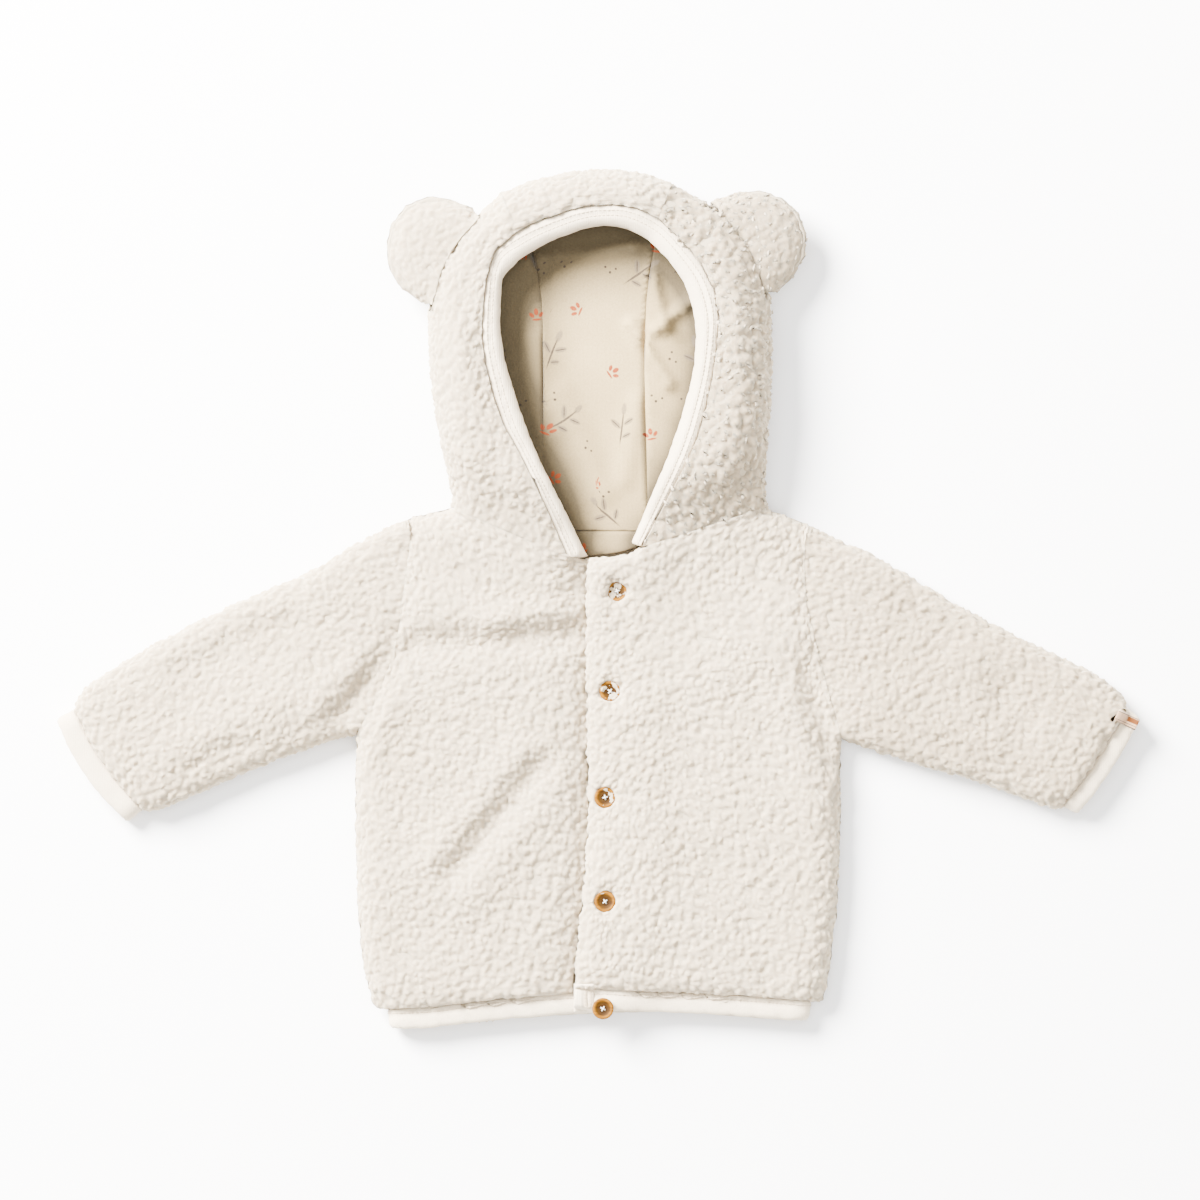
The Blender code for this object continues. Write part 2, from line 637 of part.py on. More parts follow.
def outer_edge(side):
    """A front's or the back's outer edge, from the hem up the side and the armhole to the shoulder tip."""
    path = SIDE_PATH[side]
    run = np.linspace(SIDE_START[-1], length_of(path), SIDE_ROWS + 1)
    up_side = at_distances(path, np.concatenate([SIDE_START, run[1:]]))
    armhole = at_distances(ARMHOLE_PATH[side][::-1], armhole_distances(side))
    return np.vstack([up_side, armhole[1:]])


def centre_edge(side):
    """A front's centre edge from the hem to its neck corner, then its neck edge to the neck point."""
    centre = PLACKET_PATH + (np.array([UNDERLAP, 0]) if side == "right" else 0)
    if side == "right":
        centre = np.vstack([HEM_PATH["right"][-1:], centre[4:-1], np.array([V_CORNER["right"]])])
    run = np.linspace(SIDE_START[-1], length_of(centre), CENTRE_ROWS)
    up_centre = at_distances(centre, np.concatenate([SIDE_START, run[1:]]))
    first = [np.array(V_CORNER[side]), np.array(NECK_BEND[side])]
    turns = 3
    steps = [first[0] + (first[1] - first[0]) * k / turns for k in range(1, turns + 1)]
    if side == "left":
        steps = [np.array(V_CORNER["left"]) * 0.5 + np.array(OVER_NECK) * 0.5, np.array(OVER_NECK), np.array(NECK_BEND["left"])]
    neck = np.array([NECK_BEND[side], NECK_POINT[side]])
    whole = length_of(neck)
    middle = np.linspace(0, whole - BODY_ROUND, 5)[1:]
    fine = (whole - turn_distances(BODY_ROUND))[::-1][1:]
    along_neck = at_distances(neck, np.concatenate([middle, fine]))
    return np.vstack([up_centre, steps, along_neck])


# ---------------------------------------------------------------- fronts and back

def front_shares(side, start, end):
    """Shares across a front's row. On the under front one of them falls just short of the other's edge."""
    if side == "left":
        return np.array(OVER_U, float)
    edge_x = np.interp(end[1], PLACKET_PATH[:, 1], PLACKET_PATH[:, 0]) - DIP_SPARE
    overlap = max(end[0] - edge_x, 0)
    dip = min(1 - overlap / np.linalg.norm(end - start), DIP_LIMIT) if overlap else DIP_U
    return np.interp(UNDER_U, (0, DIP_U, 1), (0, dip, 1))


def front_plan(side):
    """The plan of a front, rows from the hem to the shoulder and columns from the side to the centre."""
    rows = []
    for number, (start, end) in enumerate(zip(outer_edge(side), centre_edge(side))):
        shares = front_shares(side, start, end)
        fade = max(1 - number / SIDE_ROWS, 0) ** 2
        rows.append(start + (end - start) * shares[:, None] + fade * bow_of(HEM_PATH[side], shares))
    return np.array(rows)


def overlap_share(plan, spare):
    """1 over the button stand, easing to 0 beyond it."""
    edge_x = np.interp(plan[..., 1], PLACKET_PATH[:, 1], PLACKET_PATH[:, 0])
    past = plan[..., 0] - edge_x
    return np.where(past < UNDERLAP + spare, 1.0, 1 - ease((past - UNDERLAP - spare) / OVERLAP_SPARE)), past


def front_layers(side):
    """A front's plan, its skin with the folds, and the inside of its wall."""
    plan = front_plan(side)
    outer, normal = skin(plan, True)
    held_to_seam(normal, plan, (slice(len(SIDE_START) + SIDE_ROWS - 1, None), 0))
    held_to_seam(normal, plan, (slice(len(SIDE_START) + CENTRE_ROWS - 2, None), -1))
    held_to_seam(normal, plan, (0, slice(None)))
    folds = folds_at(plan)
    return plan, raised(outer, folds), raised(outer - normal * WALL, folds)


def kept_off_back(plan, inner):
    """The inside of a front stays clear of the back's."""
    inset, _ = to_fold_edge(plan)
    _, middle = heights(plan, False)
    return kept_above(inner, np.where(inset < BODY_ROUND + NECK_BUMP_ROUND, middle, WALL + LAYER_CLEARANCE))


def front_right_solid(parts):
    """The under front. Its pile is pressed down where the other front lies on it."""
    plan, outer, inner = front_layers("right")
    _, past = overlap_share(plan, 0)
    pressed = ease((past + DIP_REACH + DIP_SPARE) / DIP_REACH)
    pressed_top = UNDERLAP_TOP - edge_drop(plan, [PLACKET_PATH + np.array([UNDERLAP, 0]), HEM_PATH["right"]], UNDERLAP_EDGE_DROP)
    z = (outer[..., 2] - edge_drop(plan, [HEM_PATH["right"]])) * (1 - pressed) + pressed_top * pressed
    z = z + armhole_grooves(plan)
    outer = np.concatenate([outer[..., :2], z[..., None]], axis=-1)
    inner = kept_off_back(plan, raised(inner, -WALL * pressed))
    lift = np.full(z.shape, SEAM)
    return wall("front_right", raised(outer, lift), raised(inner, lift), "sherpa", parts)


def front_left_solid(parts, cutters):
    """The upper front, lifted over the button stand, with a pressed place for each button."""
    plan, outer, inner = front_layers("left")
    share, past = overlap_share(plan, OVERLAP_SPARE)
    stand = np.where(past < UNDERLAP + OVERLAP_SPARE, UNDERLAP_TOP + LAYER_CLEARANCE, 0.0)
    outer = raised(outer, OVERLAP_LIFT * share - edge_drop(plan, [HEM_PATH["left"], PLACKET_PATH]) + armhole_grooves(plan))
    inner = kept_above(kept_off_back(plan, raised(inner, OVERLAP_LIFT * share)), stand)
    lift = np.full(plan.shape[:-1], SEAM)
    front = wall("front_left", raised(outer, lift), raised(inner, lift), "sherpa", parts)
    for number, (x, y) in enumerate(BUTTONS[:-1], 1):
        radius = BUTTON_ACROSS / 2 + POCKET_SPARE
        cutter = cylinder_cutter(f"pocket_{number}", radius, POCKET_FLOOR, 2 * HOOD_HEIGHT, 16, cutters)
        cutter.location.x = x * MM
        cutter.location.y = y * MM
        cut(front, cutter)
    return front


def back_plan():
    """The back's plan, rows from the hem to the back of the neck and columns from side to side."""
    rows = {}
    for side in ("right", "left"):
        rows[side] = np.vstack([outer_edge(side), at_shares(SHOULDER[side], (0.35, 0.7, 1.0))])
    turn = turn_distances(BODY_ROUND) / np.linalg.norm(rows["left"][0] - rows["right"][0])
    flat = np.linspace(turn[-1], 1 - turn[-1], BACK_FLAT_COLUMNS + 1)[1:-1]
    lengths = arc_lengths(BACK_NECK)
    corners = lengths[1:3] / lengths[-1]
    flat = flat[np.abs(flat[:, None] - corners).min(axis=1) > 0.05]
    shares = np.unique(np.concatenate([turn, flat, corners, 1 - turn]))
    plan = rows["right"][:, None] + (rows["left"] - rows["right"])[:, None] * shares[:, None]
    fade_hem = np.clip(1 - np.arange(len(plan)) / SIDE_ROWS, 0, 1) ** 2
    below_neck = rows["right"][-1, 1] - rows["right"][:, 1]
    fade_neck = np.clip(1 - below_neck / BACK_NECK_FADE, 0, 1)
    plan = plan + fade_hem[:, None, None] * bow_of(BACK_HEM_PATH, shares)
    return plan + fade_neck[:, None, None] * bow_of(BACK_NECK, shares)


def back_solid(parts):
    """The back lies flat on the surface and turns up at the sides and shoulders."""
    plan = back_plan()
    outer, normal = skin(plan, False)
    armhole = slice(len(SIDE_START) + SIDE_ROWS - 1, -3)
    held_to_seam(normal, plan, (armhole, 0))
    held_to_seam(normal, plan, (armhole, -1))
    held_to_seam(normal, plan, (0, slice(None)))
    held_to_seam(normal, plan, (-1, slice(None)))
    return wall("back", outer, outer - normal * WALL, "sherpa", parts)


def back_neck_lining_solid(parts):
    """The bit of lining below the back neck seam that shows through the face opening."""
    low = at_shares(np.array(BACK_LINING_LOW), np.linspace(0, 1, 8))
    high = at_shares(np.array(BACK_LINING_HIGH), np.linspace(0, 1, 8))
    plan = low[None] + (high - low)[None] * np.linspace(0, 1, 4)[:, None, None]
    base = np.concatenate([plan, np.full(plan.shape[:-1] + (1,), WALL + SEAM)], axis=-1)
    return wall("back_neck_lining", raised(base, np.full(plan.shape[:-1], LINING_WALL)), base, "print", parts)


# ---------------------------------------------------------------- sleeves

def sleeve_plan(side):
    """Rings across a sleeve, from the armhole to the cuff, each from the upper fold edge to the lower one."""
    across = armhole_distances(side) / length_of(ARMHOLE_PATH[side])
    shares = 1 - across[::-1]
    down = np.concatenate([np.linspace(0, 1, SLEEVE_RINGS)[:-1], CUFF_SHARES])
    top, bottom = at_shares(UPPER_PATH[side], down), at_shares(LOWER_PATH[side], down)
    plan = top[:, None] + (bottom - top)[:, None] * shares[:, None]
    plan = plan + ((1 - down) ** 2)[:, None, None] * bow_of(ARMHOLE_PATH[side], shares)
    return plan + (down**3)[:, None, None] * bow_of(CUFF_PATH[side], shares)


def sleeve_solid(side, parts):
    """A tube: the upper skin across, then back along the lower one."""
    plan = sleeve_plan(side)
    upper, upper_normal = skin(plan, True)
    lower, lower_normal = skin(plan, False)
    for end in (0, -1):
        held_to_seam(upper_normal, plan, (end, slice(None)))
        held_to_seam(lower_normal, plan, (end, slice(None)))
    folds = folds_at(plan)
    outer_upper = raised(upper, folds - edge_drop(plan, [CUFF_PATH[side]]) + armhole_grooves(plan))
    inner_upper = raised(upper - upper_normal * WALL, folds)
    inner_lower = lower - lower_normal * WALL
    inner_upper = kept_above(inner_upper, np.full(plan.shape[:-1], WALL + LAYER_CLEARANCE))
    outer = np.concatenate([outer_upper, lower[:, -2:0:-1]], axis=1)
    inner = np.concatenate([inner_upper, inner_lower[:, -2:0:-1]], axis=1)
    away = np.array([-SEAM if side == "right" else SEAM, 0, 0])
    outer[0] += away
    inner[0] += away
    return wall(f"sleeve_{side}", outer, inner, "sherpa", parts, closed=True)


# ---------------------------------------------------------------- hood

def hood_rows(side):
    """For each row of a hood side, from the neck to the centre strip: opening, outline and floor seam."""
    shares = np.linspace(0, 1, HOOD_ROWS + 1)
    opening = OPENING_PATH if side == "right" else OPENING_PATH[::-1]
    outline = HOOD_PATH if side == "right" else HOOD_PATH[::-1]
    edge = between(opening, opening[0], GUSSET_OPENING[side])
    rim = between(outline, outline[0], GUSSET_OUTLINE[side])
    floor = smooth_path(GUSSET_FLOOR[side])
    return at_shares(edge, shares), at_shares(rim, shares), at_shares(floor, shares)


def turned_row(start, end, reach):
    """Plan points from the fold edge to end: round the turn, then evenly."""
    whole = np.linalg.norm(end - start)
    reach = min(reach, HOOD_TURN_SHARE * whole)
    distances = np.concatenate([turn_distances(reach), np.linspace(reach, whole, HOOD_FLAT_STEPS + 1)[1:]])
    return start + (end - start) * (distances / whole)[:, None]


def hood_section(edge, rim, floor):
    """A section of the hood: over the top from the opening to the outline, then along the floor."""
    neck_gap, _, _ = nearest_on(np.array([rim]), NECK_LINE)
    rise = ease(neck_gap[0] / HOOD_RISE_REACH)
    upper_reach = BODY_ROUND + NECK_BUMP_ROUND + rise * (HOOD_ROUND_TOP - BODY_ROUND - NECK_BUMP_ROUND)
    lower_reach = BODY_ROUND + NECK_BUMP_ROUND + rise * (HOOD_ROUND_BOTTOM - BODY_ROUND - NECK_BUMP_ROUND)
    return turned_row(rim, edge, upper_reach)[::-1], turned_row(rim, floor, lower_reach)


def hood_side_plans(side):
    sections = [hood_section(*row) for row in zip(*hood_rows(side))]
    return np.array([upper for upper, _ in sections]), np.array([lower for _, lower in sections])


def hood_centre_plans():
    """Rows from the opening over the outline and along the floor to the nape, columns across the strip."""
    shares = np.linspace(0, 1, GUSSET_COLUMNS + 1)
    edge = at_shares(between(OPENING_PATH, GUSSET_OPENING["right"], GUSSET_OPENING["left"]), shares)
    rim = at_shares(between(HOOD_PATH, GUSSET_OUTLINE["right"], GUSSET_OUTLINE["left"]), shares)
    seams = {side: at_shares(smooth_path(GUSSET_FLOOR[side]), np.linspace(1, 0, HOOD_ROWS + 1)) for side in ("right", "left")}
    floor = seams["right"][:, None] + (seams["left"] - seams["right"])[:, None] * shares[:, None]
    inwards = floor[-1] - rim
    inwards /= np.linalg.norm(inwards, axis=1)[:, None]
    start = rim + inwards * HOOD_FLOOR_REACH
    start[0], start[-1] = floor[0, 0], floor[0, -1]
    fade = np.linspace(1, 0, HOOD_ROWS + 1) ** 2
    floor = floor + fade[:, None, None] * (start - floor[0])
    sections = [hood_section(*column) for column in zip(edge, rim, floor[0])]
    upper = np.array([top for top, _ in sections]).transpose(1, 0, 2)
    lower = np.array([bottom for _, bottom in sections]).transpose(1, 0, 2)
    return upper, np.concatenate([lower, floor[1:]], axis=0)


def wrapped_skin(upper_plan, lower_plan, seams, axis):
    """The hood's skin over the top and then underneath, joined at the fold edge: points, directions, folds."""
    over, over_normal = skin(upper_plan, True, hood=True)
    under, under_normal = skin(lower_plan, False, hood=True)
    for seam in seams:
        held_to_seam(over_normal, upper_plan, seam)
        held_to_seam(under_normal, lower_plan, seam)
    folds = folds_at(upper_plan, hood=True)
    drop = edge_drop(upper_plan, [OPENING_PATH], HOOD_EDGE_DROP)
    keep = (slice(None), slice(None, -1)) if axis == 1 else (slice(None, -1),)
    points = np.concatenate([raised(over, folds)[keep], under], axis=axis)
    normal = np.concatenate([over_normal[keep], under_normal], axis=axis)
    drops = np.concatenate([drop[keep], np.zeros(under.shape[:-1])], axis=axis)
    return points, normal, drops


def hood_layers(points, normal, drops, name, lining_name, parts):
    """The sherpa wall, and the thin lining inside it."""
    wall(name, raised(points, -drops), points - normal * WALL, "sherpa", parts, shape=points)
    outer = points - normal * (WALL + LINING_CLEARANCE)
    wall(lining_name, outer, outer - normal * LINING_WALL, "print", parts, shape=points)


def hood_side_solids(side, parts):
    upper, lower = hood_side_plans(side)
    seams = [(0, slice(None)), (-1, slice(None))]
    points, normal, drops = wrapped_skin(upper, lower, seams, axis=1)
    held_to_seam(normal, points[..., :2], (slice(None), 0))
    points[0, :, 1] += SEAM
    hood_layers(points, normal, drops, f"hood_side_{side}", f"hood_lining_{side}", parts)


def hood_centre_solids(parts):
    upper, lower = hood_centre_plans()
    seams = [(slice(None), 0), (slice(None), -1)]
    points, normal, drops = wrapped_skin(upper, lower, seams, axis=0)
    held_to_seam(normal, points[..., :2], (0, slice(None)))
    points[:, 0, 0] += SEAM
    points[:, -1, 0] -= SEAM
    points[-1, :, 1] += SEAM
    hood_layers(points, normal, drops, "hood_centre", "hood_lining_centre", parts)


# Across the binding: share of its width from the sherpa's edge to the opening, and height over that edge.
HOOD_BINDING_SECTION = [
    (0.04, -4.2), (0.25, -2.6), (0.55, -3.0), (0.82, -5.2), (1.0, -8.6),
    (0.92, -10.8), (0.72, -9.2), (0.45, -7.8), (0.2, -7.4), (0.04, -8.0),
]


def hood_binding_solid(parts):
    """The binding folded round the face opening, with a ring of points at each corner of the hood's edge."""
    right, _ = hood_side_plans("right")
    left, _ = hood_side_plans("left")
    centre, _ = hood_centre_plans()
    outer = np.vstack([right[:, 0], centre[0, 1:-1], left[::-1, 0]])
    inner = at_shares(OPENING_INNER_PATH, arc_lengths(outer) / length_of(outer))
    level, _ = heights(outer, True)
    level = level + folds_at(outer, hood=True)
    rings = []
    for here, there, z in zip(outer, inner, level):
        rings.append([(*(here + (there - here) * a), z + b) for a, b in HOOD_BINDING_SECTION])
    rings = np.array(rings)
    rings[0, :, 1] += 2 * SEAM
    rings[-1, :, 1] += 2 * SEAM
    return strip("hood_binding", rings, "jersey", parts)


# ---------------------------------------------------------------- ears

def ear_plan(side):
    """Columns along the ear's root, rows from the root out to its round edge."""
    outline = HOOD_PATH if side == "right" else HOOD_PATH[::-1]
    along = np.linspace(0, 1, EAR_COLUMNS + 1)
    base = at_shares(between(outline, *EAR_ROOT[side]), along)
    _, outward = to_fold_edge(base)
    edge = at_shares(smooth_path(EAR_OUTLINE[side]), along)
    base = base + outward * EAR_SEAM
    return base[None] + (edge - base)[None] * np.array(EAR_OUT)[:, None, None], outward


def ear_solids(side, parts):
    """Front and back of an ear, sewn round the edge and a little puffed between."""
    plan, outward = ear_plan(side)
    gap, _, _ = nearest_on(plan, smooth_path(EAR_OUTLINE[side]))
    left = 1 - np.clip(gap / EAR_ROUND, 0, 1)
    half = EAR_RIM_HALF + EAR_HALF * np.sqrt(1 - left**2)
    middle = (EAR_ROOT_Z + (EAR_TIP_Z - EAR_ROOT_Z) * np.array(EAR_OUT))[:, None] + np.zeros(plan.shape[:-1])
    for face, sign in (("front", 1), ("back", -1)):
        far = np.concatenate([plan, (middle + sign * half)[..., None]], axis=-1)
        near = np.concatenate([plan, (middle + sign * SEAM / 2)[..., None]], axis=-1)
        if face == "front":
            up = (far[0, :, 2] - HOOD_MIDDLE) / (HOOD_HEIGHT - HOOD_MIDDLE)
            back_in = HOOD_ROUND_TOP * (1 - np.sqrt(1 - up**2))
            far[0, :, :2] -= outward * back_in[:, None]
        wall(f"ear_{side}_{face}", far, near, "sherpa", parts)


# ---------------------------------------------------------------- bindings of hem and cuffs

# Across a folded binding: share of its width outwards, share of its half thickness.
BAND_SECTION = [(0.0, 0.75), (0.4, 1.0), (0.82, 0.85), (1.0, 0.0), (0.82, -0.85), (0.4, -1.0), (0.0, -0.75)]
BAND_RADIUS = (BAND_TOP_Z - BAND_BOTTOM_Z) / 2
BAND_CORNER = BAND_INSET + BAND_RADIUS + BAND_HALF


def band_rings(places, outs, ups, width):
    rings = []
    for place, out, up in zip(places, outs, ups):
        rings.append([place + out * (BAND_SEAM + width * a) + up * BAND_HALF * b for a, b in BAND_SECTION])
    return np.array(rings)


def fold_arc(corner, sideways, out, steps=3):
    """The band's turn from the upper layer to the lower one, at the end of its upper run."""
    places, outs, ups = [], [], []
    for angle in np.linspace(0, math.pi, steps + 2)[1:-1]:
        up = np.array([sideways[0] * math.sin(angle), sideways[1] * math.sin(angle), math.cos(angle)])
        places.append(np.array([corner[0], corner[1], (BAND_TOP_Z + BAND_BOTTOM_Z) / 2]) + up * BAND_RADIUS)
        outs.append(out)
        ups.append(up)
    return places, outs, ups


def band_run(path, z, out_sign):
    """Places and outward directions of a band along a plan path."""
    run = np.gradient(path, axis=0)
    run /= np.linalg.norm(run, axis=1)[:, None]
    outs = np.stack([run[:, 1], -run[:, 0], np.zeros(len(run))], axis=1) * out_sign
    places = np.column_stack([path, np.broadcast_to(z, len(path))])
    return list(places), list(outs)


def trimmed(path, start, end):
    """The path's own corners between two distances from its ends, and the points at those distances."""
    lengths = arc_lengths(path)
    last = lengths[-1] - end
    inside = lengths[(lengths > start + 1) & (lengths < last - 1)]
    return at_distances(path, np.concatenate([[start], inside, [last]]))


def hem_binding_solid(parts):
    """One strip: along the right front, round the side, along the back, round, and along the left front."""
    up, down = np.array([0, 0, 1.0]), np.array([0, 0, -1.0])
    right = trimmed(front_plan("right")[0][::-1], SEAM, BAND_CORNER)
    _, past = overlap_share(right, 0)
    z_right = BAND_TOP_Z + (BAND_UNDERLAP_Z - BAND_TOP_Z) * ease((past + DIP_REACH) / DIP_REACH)
    back = trimmed(back_plan()[0], BAND_CORNER, BAND_CORNER)
    left = trimmed(front_plan("left")[0], BAND_CORNER, SEAM)
    share, _ = overlap_share(left, OVERLAP_SPARE / 2)
    z_left = BAND_TOP_Z + (BAND_OVERLAP_Z - BAND_TOP_Z) * share
    places, outs = band_run(right, z_right, -1)
    ups = [up] * len(places)
    corner = fold_arc(right[-1], unit(right[-1] - right[-2]), outs[-1])
    more, more_outs = band_run(back, BAND_BOTTOM_Z, 1)
    places, outs, ups = places + corner[0] + more, outs + corner[1] + more_outs, ups + corner[2] + [down] * len(more)
    first, first_outs = band_run(left, z_left, -1)
    corner = fold_arc(left[0], unit(left[0] - left[1]), first_outs[0])
    places, outs, ups = places + corner[0][::-1] + first, outs + corner[1][::-1] + first_outs, ups + corner[2][::-1] + [up] * len(first)
    return strip("hem_binding", band_rings(places, outs, ups, HEM_BAND), "jersey", parts)


def cuff_binding_solid(side, parts):
    """A ring round the cuff, flattened as the sleeve is."""
    up, down = np.array([0, 0, 1.0]), np.array([0, 0, -1.0])
    sign = -1 if side == "right" else 1
    path = trimmed(sleeve_plan(side)[-1], BAND_CORNER, BAND_CORNER)
    places, outs = band_run(path, BAND_TOP_Z, -sign)
    lower = fold_arc(path[-1], unit(path[-1] - path[-2]), outs[-1])
    under, under_outs = band_run(path, BAND_BOTTOM_Z, -sign)
    upper = fold_arc(path[0], unit(path[0] - path[1]), outs[0])
    all_places = places + lower[0] + under[::-1] + upper[0][::-1]
    all_outs = outs + lower[1] + under_outs[::-1] + upper[1][::-1]
    all_ups = [up] * len(places) + lower[2] + [down] * len(under) + upper[2][::-1]
    rings = band_rings(all_places, all_outs, all_ups, CUFF_BAND[side])
    return strip(f"cuff_binding_{side}", rings, "jersey", parts, closed=True)


TAB_ALONG = (8.0, 10.3, 12.7, 15.0)  # from the top of the cuff
TAB_ACROSS = (-4.5, -3.0, -1.5, 0.0, 1.5, 4.0, 7.0, 9.4)  # outwards from the sherpa's edge


def cuff_tab_solid(parts):
    """A woven tab across the left cuff: it lies on the sherpa's edge and on the binding."""
    path = at_distances(CUFF_PATH["left"], np.array(TAB_ALONG))
    places, outs = band_run(path, 0.0, -1)
    short = np.maximum(BAND_CORNER - np.array(TAB_ALONG), 0)
    outside = BAND_RADIUS + BAND_HALF
    on_band = (BAND_TOP_Z + BAND_BOTTOM_Z) / 2 + np.sqrt(outside**2 - short**2)
    rows = []
    for reach in TAB_ACROSS:
        line = (np.array(places) + np.array(outs) * reach)[:, :2]
        cover = on_band
        if reach < 1:
            surface, _ = skin(line, True)
            cover = np.maximum(surface[:, 2] - edge_drop(line, [CUFF_PATH["left"]]), on_band)
        rows.append(np.column_stack([line, cover + TAB_CLEARANCE]))
    low = np.array(rows)
    return wall("cuff_tab", raised(low, np.full(low.shape[:-1], TAB_THICK)), low, "ribbon", parts)


# ---------------------------------------------------------------- buttons

# Half section of a button from the rim's top outwards and under, as shares of its radius and thickness.
BUTTON_PROFILE = [(0.0, 0.72), (0.52, 0.72), (0.66, 0.92), (0.8, 1.0), (0.94, 0.84), (1.0, 0.5), (0.93, 0.16), (0.75, 0.0), (0.0, 0.0)]


def button_solid(number, parts, cutters):
    """A turned wooden button with a raised rim and four thread holes."""
    x, y = BUTTONS[number - 1]
    profile = [(a * BUTTON_ACROSS / 2, b * BUTTON_THICK) for a, b in BUTTON_PROFILE]
    made = turned(f"button_{number}", profile, 14, "wood", parts)
    last = number == len(BUTTONS)
    base = BAND_OVERLAP_Z + BAND_HALF if last else POCKET_FLOOR
    made.location = (x * MM, y * MM, (base + SEAM) * MM)
    for hole in range(4):
        angle = math.pi / 4 + hole * math.pi / 2
        cutter = cylinder_cutter(f"hole_{number}_{hole}", BUTTON_HOLE / 2, -BUTTON_THICK, 2 * BUTTON_THICK, 6, cutters)
        cutter.parent = made
        cutter.location.x = BUTTON_HOLE_OFF * math.cos(angle) * MM
        cutter.location.y = BUTTON_HOLE_OFF * math.sin(angle) * MM
        cut(made, cutter)
    return made


# ---------------------------------------------------------------- the jacket

def centre_on_origin(parts, cutters):
    """Moves everything so that the middle of the jacket's box is over the origin."""
    corners = np.array([vertex.co for made in parts.objects for vertex in made.data.vertices if not made.parent])
    middle = (corners.min(axis=0) + corners.max(axis=0)) / 2
    for made in list(parts.objects) + list(cutters.objects):
        if not made.parent:
            made.location.x -= middle[0]
            made.location.y -= middle[1]


def build():
    for old in list(bpy.data.objects):
        bpy.data.objects.remove(old, do_unlink=True)
    parts, cutters = new_collection(NAME), new_collection("cutters")
    cutters.hide_render = True
    back_solid(parts)
    back_neck_lining_solid(parts)
    front_right_solid(parts)
    front_left_solid(parts, cutters)
    for side in ("right", "left"):
        sleeve_solid(side, parts)
        hood_side_solids(side, parts)
        ear_solids(side, parts)
        cuff_binding_solid(side, parts)
    hood_centre_solids(parts)
    hood_binding_solid(parts)
    hem_binding_solid(parts)
    cuff_tab_solid(parts)
    for number in range(1, len(BUTTONS) + 1):
        button_solid(number, parts, cutters)
    centre_on_origin(parts, cutters)


build()
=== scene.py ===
# %% [markdown]
# # A child's sherpa jacket, laid flat
# The real thing is a hooded jacket of sherpa: a knitted cloth with a woolly, curled pile.
# It lies on its back on a white table, buttoned, with its hood open and two round ears on the hood's sides.
# This notebook dresses the CAD part. The CAD gives every panel its place.
# The scene gives it pile, knit and stitches.

# %% Load the part
import json
import math
import random

import bmesh
import bpy
import numpy as np
from mathutils import Matrix, Vector, noise
from mathutils.bvhtree import BVHTree

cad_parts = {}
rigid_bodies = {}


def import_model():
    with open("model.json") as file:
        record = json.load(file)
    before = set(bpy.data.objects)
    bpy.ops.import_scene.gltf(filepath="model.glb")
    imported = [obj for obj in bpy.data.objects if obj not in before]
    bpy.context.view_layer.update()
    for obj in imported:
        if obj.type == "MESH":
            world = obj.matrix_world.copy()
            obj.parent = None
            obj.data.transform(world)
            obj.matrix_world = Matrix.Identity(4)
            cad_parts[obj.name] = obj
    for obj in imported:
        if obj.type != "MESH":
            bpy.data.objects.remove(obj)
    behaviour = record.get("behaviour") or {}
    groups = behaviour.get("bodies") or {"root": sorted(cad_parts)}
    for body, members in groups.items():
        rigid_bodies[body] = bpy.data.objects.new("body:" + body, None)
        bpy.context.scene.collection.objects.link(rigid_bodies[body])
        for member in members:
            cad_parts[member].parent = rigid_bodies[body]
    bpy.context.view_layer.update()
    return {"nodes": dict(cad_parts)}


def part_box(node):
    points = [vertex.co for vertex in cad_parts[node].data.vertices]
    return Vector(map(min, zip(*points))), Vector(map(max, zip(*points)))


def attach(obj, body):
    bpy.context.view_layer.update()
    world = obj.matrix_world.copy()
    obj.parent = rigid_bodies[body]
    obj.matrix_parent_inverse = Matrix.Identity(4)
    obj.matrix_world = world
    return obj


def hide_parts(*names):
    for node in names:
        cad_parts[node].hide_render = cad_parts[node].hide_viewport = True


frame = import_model()
CAD = frame["nodes"]
SCENE = bpy.context.scene
MM = 0.001

# %% [markdown]
# ## Where things are
# The pattern was drawn in millimetres from the middle of the picture.
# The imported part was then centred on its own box.
# Every place below is in the pattern's millimetres, and one helper turns it into the part's metres.

# %% Pattern millimetres to metres
CENTRED_BY = (1.152, -0.459)


def place(x, y, z=0.0):
    """A point of the pattern, in metres of the part."""
    return Vector(((x + CENTRED_BY[0]) * MM, (y + CENTRED_BY[1]) * MM, z * MM))


def pattern_of(points):
    """The pattern's millimetres under an array of points in metres."""
    return np.asarray(points)[:, :2] / MM - np.array(CENTRED_BY)


print("the top button is at", place(9.9, 5.2))

# %% [markdown]
# ## Camera, table and light
# The photograph looks straight down from far away, so the camera hangs six metres up with a long lens.
# The light is one large soft window at the upper left, with a weak fill and a soft light overhead,
# in a bright white room.

# %% Camera
CAMERA_HEIGHT = 6.0  # metres over the cloth
CLOTH_HEIGHT = 12.0  # mm: the height that the camera measures from
VIEW_WIDTH = 0.696  # metres that the picture's width covers at the cloth
SENSOR = 36.0


def set_up_camera():
    data = bpy.data.cameras.new("camera")
    data.sensor_width = SENSOR
    data.lens = SENSOR * CAMERA_HEIGHT / VIEW_WIDTH
    data.clip_end = 50
    camera = bpy.data.objects.new("camera", data)
    SCENE.collection.objects.link(camera)
    camera.location = place(0, 0, CAMERA_HEIGHT / MM + CLOTH_HEIGHT)
    SCENE.camera = camera
    return camera


camera = set_up_camera()
print("lens", round(camera.data.lens), "mm")

# %% A short way to write node trees


